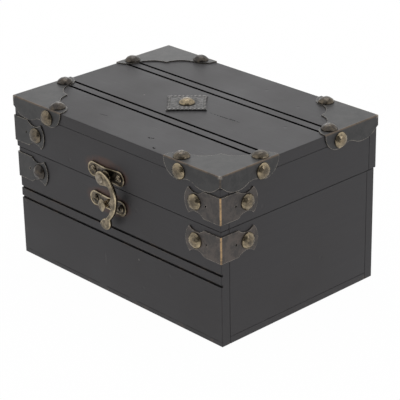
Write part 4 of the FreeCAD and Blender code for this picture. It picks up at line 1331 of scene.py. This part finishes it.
@dataclass
class Spring:
    """The coil under the figure, which opens as the figure rises."""

    radius: float = 20.0
    wire: float = 0.9
    low: float = 12.05
    pitch: float = 2.9875
    turns: int = 8
    steps: int = 64
    dead_turns: float = 0.4

    def build(self, finish: Finish) -> None:
        """Winds the coil and lets each place on its wire rise by its share of the figure's rise."""
        item = Bench.ring(self.wire, 0.0, 14)
        upright = Matrix.Rotation(math.pi / 2, 4, "X")
        item.data.transform(Matrix.Translation((self.radius, 0, self.low)) @ upright)
        Bench.modify(
            item, "SCREW", axis="Z", angle=FULL_TURN, screw_offset=self.pitch, iterations=self.turns,
            steps=self.steps, render_steps=self.steps, use_merge_vertices=False)
        with Bench.editing(item):
            bpy.ops.mesh.fill_holes(sides=0)
        Bench.tidy(item, 60.0)
        item.data.transform(Matrix.Scale(MM, 4))
        finish_piece(item, "coil_spring", finish, None, "steel_wire", "jack_spring")
        top = self.low + self.pitch * self.turns
        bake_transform(item, "box", "jack", start=(0, 0, self.low * MM), end=(0, 0, top * MM))
        shares = item.data.attributes["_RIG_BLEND"]
        for vertex, share in zip(item.data.vertices, shares.data):
            share.value = self.share_at(vertex.co / MM)

    def share_at(self, v: Vector) -> float:
        """How much of the rise a point on the wire takes, the same all round the wire."""
        part = (math.atan2(v.y, v.x) / FULL_TURN) % 1.0
        turn = part + round((v.z - self.low) / self.pitch - part)
        return max(0.0, min(1.0, (turn - self.dead_turns) / (self.turns - 2 * self.dead_turns)))


@dataclass(frozen=True)
class Lump:
    """A soft lump on the face: how far it stands out, its place, and how wide and tall it is."""

    push: float
    x: float
    z: float
    wide: float
    tall: float

    def over(self, side: float, z: float) -> float:
        """How far it lifts a point of the face."""
        across, up = (side - self.x) / self.wide, (z - self.z) / self.tall
        return self.push * math.exp(-across ** 2 - up ** 2)


CHEEK = Lump(0.85, 8.6, -4.6, 3.6, 3.2)
CHIN = Lump(0.55, 0.0, -13.2, 4.2, 2.2)
BROW = Lump(0.45, 5.6, 7.2, 4.0, 1.6)
EYE = Lump(-0.75, 5.9, 3.0, 3.0, 2.3)
UPPER_LIP = Lump(0.42, 0.0, -7.9, 3.8, 0.75)
LOWER_LIP = Lump(0.42, 0.0, -9.6, 3.2, 0.8)
UNDER_LIP = Lump(-0.5, 0.0, -11.2, 3.0, 0.7)


@dataclass
class Figure:
    """The jack: coat, ruff, head, nose, hat and bell."""

    disc_top: float = 42.0
    hem: float = 15.0
    coat_top: float = 25.3
    coat_hem: float = 32.4
    coat_folds: int = 13
    coat_fold: float = 2.6
    coat_rows: int = 26
    coat_sides: int = 312
    coat_sag: float = 0.5
    coat_puff: float = 0.9
    coat_gather: float = 0.28
    coat_drift: Pair = (0.35, 0.2)
    coat_ease: float = 0.3
    inner_edge: float = 13.0
    inner_step: float = 3.0
    inner_rows: int = 5
    cloth: float = 0.5
    turn_in: float = 0.27
    coat_cut: Pair = (254.4, 40.7)
    coat_cut_area: float = 7206.0
    ruff_cut: Pair = (315.4, 21.9)
    ruff_cut_area: float = 4613.0
    ruff_inner: float = 8.6
    ruff_outer: float = 30.4
    ruff_height: float = 5.6
    ruff_pleats: int = 22
    ruff_rows: int = 12
    ruff_gap: float = 0.4
    pleat_points: int = 20
    pleat_lean: float = 0.019
    pleat_stray: float = 0.5
    neck: float = 8.0
    neck_flare: tuple[Pair, ...] = ((0.0, 47.0), (0.3, 48.6), (1.6, 50.6))
    head: float = 17.5
    head_level: float = 66.0
    nose: float = 3.4
    nose_level: float = -1.5
    brim_level: float = 73.5
    brim: float = 18.4
    roll: tuple[Pair, ...] = (
        (-2.4, 0.3), (-0.9, 0.0), (0.0, 0.9), (0.0, 2.2), (-0.7, 3.3), (-1.5, 3.8))
    hat_rows: int = 18
    hat_bulge: float = 0.5
    hat_dip: float = 0.28
    hat_fold: Point = (0.4, 0.62, 0.035)
    tip_level: float = 99.4
    tip: float = 3.0
    bell: float = 4.2
    bell_level: float = 101.0
    bell_slot: Pair = (0.9, 0.38)
    bell_hole: Pair = (2.6, 0.75)
    bell_front: float = 1.6
    bell_waist: Pair = (0.5, 0.96)

    def coat(self, finish: Finish) -> None:
        """The cloth coat: gathered round the disc and falling in folds over the spring."""
        span = self.disc_top - self.hem
        flare = self.coat_hem - self.coat_top
        profile = [(self.inner_edge + self.inner_step * i, self.disc_top + self.turn_in)
                   for i in range(self.inner_rows)]
        for i in range(self.coat_rows + 1):
            down = self.coat_rows
            profile.append((self.coat_top + flare * i / down, self.disc_top - span * i / down))
        item = Bench.lathe(profile, self.coat_sides, close=False)

        def folded(v: Vector) -> Vector:
            """Swings the cloth in and out, more towards the hem."""
            if v.z > self.disc_top:
                return v
            down = max(0.0, (self.disc_top - v.z) / span)
            angle = math.atan2(v.y, v.x)
            wide = math.hypot(v.x, v.y)
            slow, quick = self.coat_drift
            drift = slow * math.sin(3 * angle + 1.0) + quick * math.sin(5 * angle)
            wave = math.sin(self.coat_folds * angle + drift + 0.6 * down)
            gather = math.sin(5 * self.coat_folds * angle) * max(0.0, 1 - 5 * down)
            puff = math.sin(math.pi * min(1.0, down * 1.3)) if down < 0.77 else 0.0
            out = wide + self.coat_fold * wave * down ** 1.2 + self.coat_gather * gather
            out += self.coat_puff * puff * (1 - down) + self.coat_ease
            sag = self.coat_sag * down * math.cos(self.coat_folds * angle + drift)
            return Vector((v.x * out / wide, v.y * out / wide, v.z - sag))

        self.sew(item, folded)
        self.hand_over(item, "folded_coat", finish, "coat_cloth", "jack_coat")
        self.declare_cut(item, self.coat_cut, self.coat_cut_area, "spring_disc")

    def sew(self, item: Item, fold: Callable[[Vector], Vector]) -> None:
        """Folds a sheet by a rule and gives it the cloth's thickness."""
        Bench.reshape(item, fold)
        Bench.tidy(item, 60.0)
        Bench.modify(item, "SOLIDIFY", thickness=self.cloth, offset=0.0)
        Bench.tidy(item, 60.0)

    @staticmethod
    def hand_over(item: Item, name: str, finish: Finish, slot: str, node: str) -> None:
        """Brings a piece of the figure to metres and ties it to the jack.

        Args:
            item: the modelled piece, in millimetres and in its place.
            name: the piece's name.
            finish: its material.
            slot: the material slot's name.
            node: the CAD node that it stands for.
        """
        item.data.transform(Matrix.Scale(MM, 4))
        finish_piece(item, name, finish, "jack", slot, node)

    @staticmethod
    def declare_cut(item: Item, cut: Pair, area: float, rest: str) -> None:
        """Takes what flared panel a sheet was cut as, and does nothing with it.

        Args:
            item: the finished sheet; not used.
            cut: the length of its longer edge and its depth, laid flat; not used.
            area: the flared panel's flat area; not used.
            rest: the piece that holds it; not used.
        """

    def ruff(self, finish: Finish) -> None:
        """The pleated collar: a flared panel closed to a ring and set in upright pleats."""
        middle = self.disc_top + self.ruff_height / 2 + self.ruff_gap
        breadth = self.ruff_outer - self.ruff_inner
        profile = [(self.ruff_inner + breadth * i / self.ruff_rows, middle)
                   for i in range(self.ruff_rows + 1)]
        item = Bench.lathe(profile, self.ruff_pleats * self.pleat_points, close=False)
        half = self.ruff_height / 2 - self.cloth

        def pleated(v: Vector) -> Vector:
            """Lays the cloth up and down, fuller at its outer edge."""
            wide = math.hypot(v.x, v.y)
            out = (wide - self.ruff_inner) / breadth
            angle = math.atan2(v.y, v.x)
            phase = self.ruff_pleats * angle
            lift = half * min(1.0, 0.25 + 1.1 * out) * math.sin(phase)
            angle -= self.pleat_lean * out * math.sin(2 * phase)
            edge = wide + self.pleat_stray * out * math.sin(3 * angle)
            return Vector((edge * math.cos(angle), edge * math.sin(angle), v.z + lift))

        self.sew(item, pleated)
        self.hand_over(item, "pleated_ruff", finish, "ruff_cloth", "jack_ruff")
        self.declare_cut(item, self.ruff_cut, self.ruff_cut_area, "jack_head")

    def face(self, finish: Finish) -> None:
        """The turned head on its neck, with cheeks, brow and chin shaped on its front."""
        ball = Bench.ball(self.head, 96, 64)
        lumps = (CHEEK, CHIN, BROW, EYE, UPPER_LIP, LOWER_LIP, UNDER_LIP)

        def features(v: Vector) -> Vector:
            """Raises the cheeks, brow, chin and lips and sets the eyes back a little."""
            if v.y > -4.0:
                return v
            front = min(1.0, (-v.y - 4.0) / 6.0)
            push = sum(lump.over(abs(v.x), v.z) for lump in lumps)
            return v * (1 + front * push / self.head)

        Bench.reshape(ball, features)
        Bench.lift(ball, self.head_level)
        profile = [(self.neck, self.disc_top + 0.05)]
        profile += [(self.neck + out, level) for out, level in self.neck_flare]
        item = Bench.join([ball, Bench.lathe(profile, 64)])
        Bench.tidy(item, 60.0)
        self.hand_over(item, "painted_head", finish, "painted_face", "jack_head")

    def nose_ball(self, finish: Finish) -> None:
        """The nose: a turned ball, a little narrower above."""
        item = Bench.ball(self.nose, 40, 24)
        Bench.reshape(item, lambda v: Vector((v.x * (1 - 0.05 * v.z / self.nose), v.y, v.z * 0.97)))
        place = Vector((0, -self.head, self.head_level + self.nose_level))
        Bench.reshape(item, lambda v: v + place)
        Bench.tidy(item, 60.0)
        self.hand_over(item, "ball_nose", finish, "red_paint", "jack_nose")

    def hat(self, finish: Finish) -> None:
        """The felt cone with its rolled brim and soft creases."""
        profile = [(self.brim + out, self.brim_level + high) for out, high in self.roll]
        base_wide, base_level = profile[-1]
        taper, rise = self.tip - base_wide, self.tip_level - 0.8 - base_level
        for i in range(1, self.hat_rows + 1):
            share = i / self.hat_rows
            bulge = self.hat_bulge * math.sin(math.pi * share)
            profile.append((base_wide + taper * share + bulge, base_level + rise * share))
        profile.append((self.tip * 0.6, self.tip_level - 0.2))
        item = Bench.lathe(profile, 96)

        def creased(v: Vector) -> Vector:
            """Puts slanting creases round the cone."""
            high = (v.z - base_level) / (self.tip_level - base_level)
            if high <= 0:
                return v
            angle = math.atan2(v.y, v.x)
            dip = self.hat_dip * math.sin(7 * angle + 9 * high) * math.sin(math.pi * min(1.0, high))
            deep, level, soft = self.hat_fold
            fold = deep * math.exp(-((high - level - 0.05 * math.sin(angle)) / soft) ** 2)
            wide = math.hypot(v.x, v.y)
            scale = (wide + dip - fold) / wide if wide > 1e-6 else 1.0
            return Vector((v.x * scale, v.y * scale, v.z))

        Bench.reshape(item, creased)
        Bench.tidy(item, 60.0)
        self.hand_over(item, "felt_hat", finish, "hat_felt", "jack_hat")

    def jingle_bell(self, finish: Finish) -> None:
        """The bell: a round shell with a sunk waist, two holes and a slot between them."""
        item = Bench.ball(self.bell, 48, 32)

        def formed(v: Vector) -> Vector:
            """Sinks the slot and its end holes."""
            if v.z <= self.bell_front:
                return v
            deep, half = self.bell_slot
            middle, wide = self.bell_hole
            slot = math.exp(-(v.y / half) ** 4)
            end = math.exp(-(((abs(v.x) - middle) / wide) ** 2 + (v.y / wide) ** 2) ** 2)
            return v * (1 - deep * max(slot, end) / self.bell)

        Bench.reshape(item, formed)
        half, drawn = self.bell_waist
        with Bench.editing(item):
            Bench.pick(item, Pick.FACE, lambda f: abs(f.calc_center_median().z) < half)
            bpy.ops.mesh.inset(thickness=0.05, depth=0.0)
            bpy.ops.transform.resize(value=(drawn, drawn, 1.0), center_override=(0, 0, 0))
        Bench.lift(item, self.bell_level)
        Bench.tidy(item, 50.0)
        self.hand_over(item, "jingle_bell", finish, "antique_brass", "hat_bell")


@dataclass(frozen=True)
class Lamp:
    """A soft square lamp: its name, its place and side in metres, and its power."""

    name: str
    place: Point
    size: float
    power: float


@dataclass
class Studio:
    """The camera, the floor and the light."""

    eye: Point = (0.77984, -0.71995, 0.52272)
    right: Point = (0.68704, 0.72639, -0.01824)
    up: Point = (-0.28527, 0.29273, 0.91265)
    ahead: Point = (-0.66828, 0.62182, -0.40833)
    focal_px: float = 1701.6
    frame_px: float = 400.0
    sensor: float = 36.0
    floor_level: float = -0.0003
    floor_size: float = 16.0
    floor_tone: Colour = (0.86, 0.86, 0.86)
    floor_white: float = 0.985
    sky_level: float = 0.92
    aim: Point = (0.0, 0.0, 0.06)
    card_away: float = 1.45
    card_size: float = 1.9
    card_tone: Colour = (0.09, 0.09, 0.09)
    lamps: tuple[Lamp, ...] = (
        Lamp("overhead_softbox", (-0.40, 0.40, 1.15), 0.6, 3.0),
        Lamp("right_softbox", (1.5, 0.1, 0.8), 0.35, 1.6),
        Lamp("back_softbox", (-1.15, 1.07, 0.36), 0.5, 0.9),
    )

    def camera(self) -> None:
        """Sets the camera where the photograph was taken."""
        lens = bpy.data.cameras.new("camera")
        lens.sensor_width = self.sensor
        lens.lens = self.focal_px / self.frame_px * self.sensor
        lens.clip_start, lens.clip_end = 0.05, 50.0
        item = bpy.data.objects.new("camera", lens)
        bpy.context.scene.collection.objects.link(item)
        back = [-value for value in self.ahead]
        turn = Matrix((self.right, self.up, back)).transposed().to_4x4()
        item.matrix_world = Matrix.Translation(self.eye) @ turn
        bpy.context.scene.camera = item

    def floor(self) -> None:
        """Lays a plain pale floor that shows white and keeps a faint shadow."""
        Bench.clear()
        bpy.ops.mesh.primitive_plane_add(size=self.floor_size, location=(0, 0, self.floor_level))
        item = bpy.context.object
        item.name = "studio_floor"
        kit = Shader("pale_floor")
        kit.dress(Base_Color=self.floor_tone, Roughness=0.9, Specular_IOR_Level=0.1)
        white = kit.node("ShaderNodeEmission", {}, {"Color": (1.0, 1.0, 1.0), "Strength": 1.0})
        kit.cover(self.seen(kit) * self.floor_white, white)
        item.data.materials.append(kit.material)

    @staticmethod
    def seen(kit: Shader) -> Socket:
        """1 for rays that show the background itself or its mirror image."""
        path = kit.node("ShaderNodeLightPath", {}, {}, "Is Camera Ray").link.node
        names = ("Is Camera Ray", "Is Glossy Ray", "Is Transmission Ray")
        camera, glossy, through = (Socket(kit, path.outputs[name]) for name in names)
        return camera.most(glossy).most(through)

    def sky(self) -> None:
        """White all round, at a plain level."""
        world = bpy.data.worlds.new("studio_sky")
        bpy.context.scene.world = world
        world.use_nodes = True
        back = world.node_tree.nodes["Background"]
        back.inputs["Color"].default_value = (1.0, 1.0, 1.0, 1.0)
        back.inputs["Strength"].default_value = self.sky_level

    def hang(self, lamp: Lamp) -> None:
        """Hangs one lamp so that it looks at the box."""
        light = bpy.data.lights.new(lamp.name, "AREA")
        light.size = lamp.size
        light.energy = lamp.power
        item = bpy.data.objects.new(lamp.name, light)
        bpy.context.scene.collection.objects.link(item)
        way = Vector(self.aim) - Vector(lamp.place)
        item.rotation_euler = way.to_track_quat("-Z", "Y").to_euler()
        item.visible_camera = False
        item.location = lamp.place

    def dark_card(self) -> None:
        """Stands a dark card behind the camera, which the metal mirrors."""
        middle = Vector(self.aim) - Vector(self.ahead) * self.card_away
        Bench.clear()
        turn = Vector(self.ahead).to_track_quat("-Z", "Y").to_euler()
        bpy.ops.mesh.primitive_plane_add(size=self.card_size, location=middle, rotation=turn)
        item = bpy.context.object
        item.name = "dark_card"
        item.visible_camera = False
        kit = Shader("card_black")
        item.data.materials.append(kit.dress(Base_Color=self.card_tone, Roughness=0.95))

    def build(self) -> None:
        """Sets up the whole studio."""
        bpy.context.scene.view_settings.view_transform = "Standard"
        self.camera()
        self.floor()
        self.dark_card()
        self.sky()
        for lamp in self.lamps:
            self.hang(lamp)


def dress_nodes(finish: Finish, *names: str) -> None:
    """Gives carried-over CAD nodes their finish.

    Args:
        finish: the material.
        names: the nodes' names.
    """
    for name in names:
        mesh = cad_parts[name].data
        mesh.materials.clear()
        mesh.materials.append(finish)
        log.info("%s keeps its solid in %s", name, finish.name)


def dress_boards() -> None:
    """Dresses the wooden boards of the box and the lid."""
    chips = (Mark(22.8, -57.9, 1.9, 0.8, 20.0), Mark(37.1, -67.4, 1.6, 0.9, -15.0),
             Mark(25.0, -56.6, 1.2, 0.6, 70.0))
    scratches = (Mark(29.6, -0.4, 13.5, 0.34, 1.4), Mark(40.0, 0.6, 6.0, 0.25, -3.0),
                 Mark(-30.0, -52.0, 5.0, 0.22, 12.0))
    top = DarkWood("dark_wood_top", Grain.ACROSS, chips + scratches, ((28.4, 3.9),)).material()
    across = DarkWood("dark_wood_across", Grain.ACROSS).material()
    deep = DarkWood("dark_wood_deep", Grain.DEEP).material()
    dress_nodes(top, "lid_top_panel")
    dress_nodes(across, "base_board", "box_front_panel", "box_back_panel", "lid_front_rail",
                "lid_back_rail")
    dress_nodes(deep, "box_left_panel", "box_right_panel", "lid_left_rail", "lid_right_rail")


SILVER: Colour = (0.40, 0.36, 0.31)
METALS: tuple[WornMetal, ...] = (
    WornMetal(
        "corner_bronze", dark=(0.011, 0.0108, 0.0112), face=(0.026, 0.0245, 0.0240), bright=SILVER,
        wear=1.3, rough=0.30, metal=0.12, bare_from=0.40,
        folds=Folds(wide=101.6, deep=72.1, top=117.8, wear=0.42), gold=(0.27, 0.19, 0.125)),
    WornMetal(
        "lid_strap_bronze", dark=(0.026, 0.021, 0.019), face=(0.062, 0.049, 0.042), bright=SILVER,
        wear=1.0, rough=0.32, metal=0.15, bare_from=0.42,
        folds=Folds(wide=101.6, deep=72.1, top=NO_FOLD, wear=0.95)),
    WornMetal(
        "box_strap_bronze", dark=(0.030, 0.024, 0.021), face=(0.078, 0.060, 0.050), bright=SILVER,
        wear=1.0, rough=0.32, metal=0.15, bare_from=0.42,
        folds=Folds(wide=100.8, deep=71.3, top=NO_FOLD, wear=1.0)),
    WornMetal(
        "bronze_sheet", dark=(0.014, 0.013, 0.013), face=(0.042, 0.038, 0.035), bright=SILVER,
        wear=0.9, rough=0.32, metal=0.2),
    # The medallion's near-black tone is painted shade round its stud and under its beads.
    WornMetal(
        "embossed_bronze", dark=(0.012, 0.0115, 0.012), face=(0.034, 0.032, 0.032),
        bright=(0.34, 0.33, 0.32), wear=0.5, rough=0.34, metal=0.12, bare_from=0.38,
        shade_and_patina_tone=(0.004, 0.004, 0.004)),
    # The studs' darker tone goes on the top studs as painted shade.
    WornMetal(
        "stud_brass", dark=(0.034, 0.027, 0.022), face=(0.155, 0.118, 0.078),
        bright=(0.52, 0.43, 0.28), wear=0.9, rough=0.20, metal=0.62, hammered=0.7,
        shade_and_patina_tone=(0.042, 0.038, 0.037)),
    WornMetal(
        "antique_brass", dark=(0.022, 0.018, 0.015), face=(0.165, 0.135, 0.098),
        bright=(0.66, 0.55, 0.37), wear=0.9, rough=0.26, metal=0.80, hammered=0.2),
    WornMetal(
        "rubbed_brass", dark=(0.20, 0.170, 0.130), face=(0.42, 0.37, 0.30),
        bright=(0.70, 0.60, 0.44), wear=0.9, rough=0.26, metal=0.80, hammered=0.1),
    WornMetal(
        "steel_wire", dark=(0.015, 0.015, 0.016), face=(0.055, 0.054, 0.056),
        bright=(0.20, 0.19, 0.18), wear=0.4, rough=0.34, metal=0.4, edge_reach=0.3),
    WornMetal(
        "spring_steel", dark=(0.22, 0.22, 0.225), face=(0.48, 0.48, 0.49),
        bright=(0.70, 0.70, 0.70), wear=0.4, rough=0.22, metal=0.9, edge_reach=0.3),
)


def dress_metal(metal: dict[str, Finish]) -> None:
    """Dresses the sheet metal, the hinges and the small fasteners.

    Args:
        metal: the metal finishes by name.
    """
    sides = ("left", "right")
    corners = [f"lid_corner_{end}_{side}" for end in ("front", "back") for side in sides]
    leaves = [f"hinge_{carrier}_leaf_{side}" for carrier in ("lid", "box") for side in sides]
    for finish, names in {
        "corner_bronze": (*corners, "lid_strap_left", "box_strap_left"),
        "lid_strap_bronze": ("lid_strap_right",),
        "box_strap_bronze": ("box_strap_right",),
        "bronze_sheet": (*leaves, "hinge_pins"),
        "antique_brass": (
            "hook_plate_screws", "catch_screws", "hinge_box_screws", "hinge_lid_screws"),
        "steel_wire": ("box_panel_brads", "lid_panel_brads", "spring_staples"),
        "rubbed_brass": ("hook_rivet",),
    }.items():
        dress_nodes(metal[finish], *names)


def main() -> None:
    """Builds the studio and the pieces in order."""
    logging.basicConfig(level=logging.INFO, format="%(name)s: %(message)s")
    Studio().build()
    metal = {finish.name: finish.material() for finish in METALS}
    dress_boards()
    dress_metal(metal)
    dress_nodes(PlainWood("plain_wood").material(), "spring_block", "spring_disc")
    Studs().build(metal["stud_brass"])
    Medallion().build(metal["embossed_bronze"])
    Clasp().build(metal["antique_brass"])
    Spring().build(metal["spring_steel"])
    figure = Figure()
    figure.coat(Woven(
        "coat_cloth", thread=(0.42, 0.028, 0.030), shade=(0.22, 0.012, 0.016), threads=330.0,
        band=(0.62, 0.44, 0.10), band_levels=(17.0, 20.0)).material())
    figure.ruff(Woven(
        "ruff_cloth", thread=(0.80, 0.76, 0.66), shade=(0.60, 0.55, 0.45), threads=420.0).material())
    figure.face(PaintedFace("painted_face", middle=(0.0, 0.0, figure.head_level)).material())
    figure.nose_ball(GlossPaint(
        "red_paint", colour=(0.62, 0.03, 0.025), shade=(0.45, 0.015, 0.015)).material())
    figure.hat(Felt(
        "hat_felt", thread=(0.075, 0.125, 0.26), shade=(0.035, 0.060, 0.135)).material())
    figure.jingle_bell(metal["stud_brass"])
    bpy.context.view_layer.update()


if __name__ == "__main__":
    main()
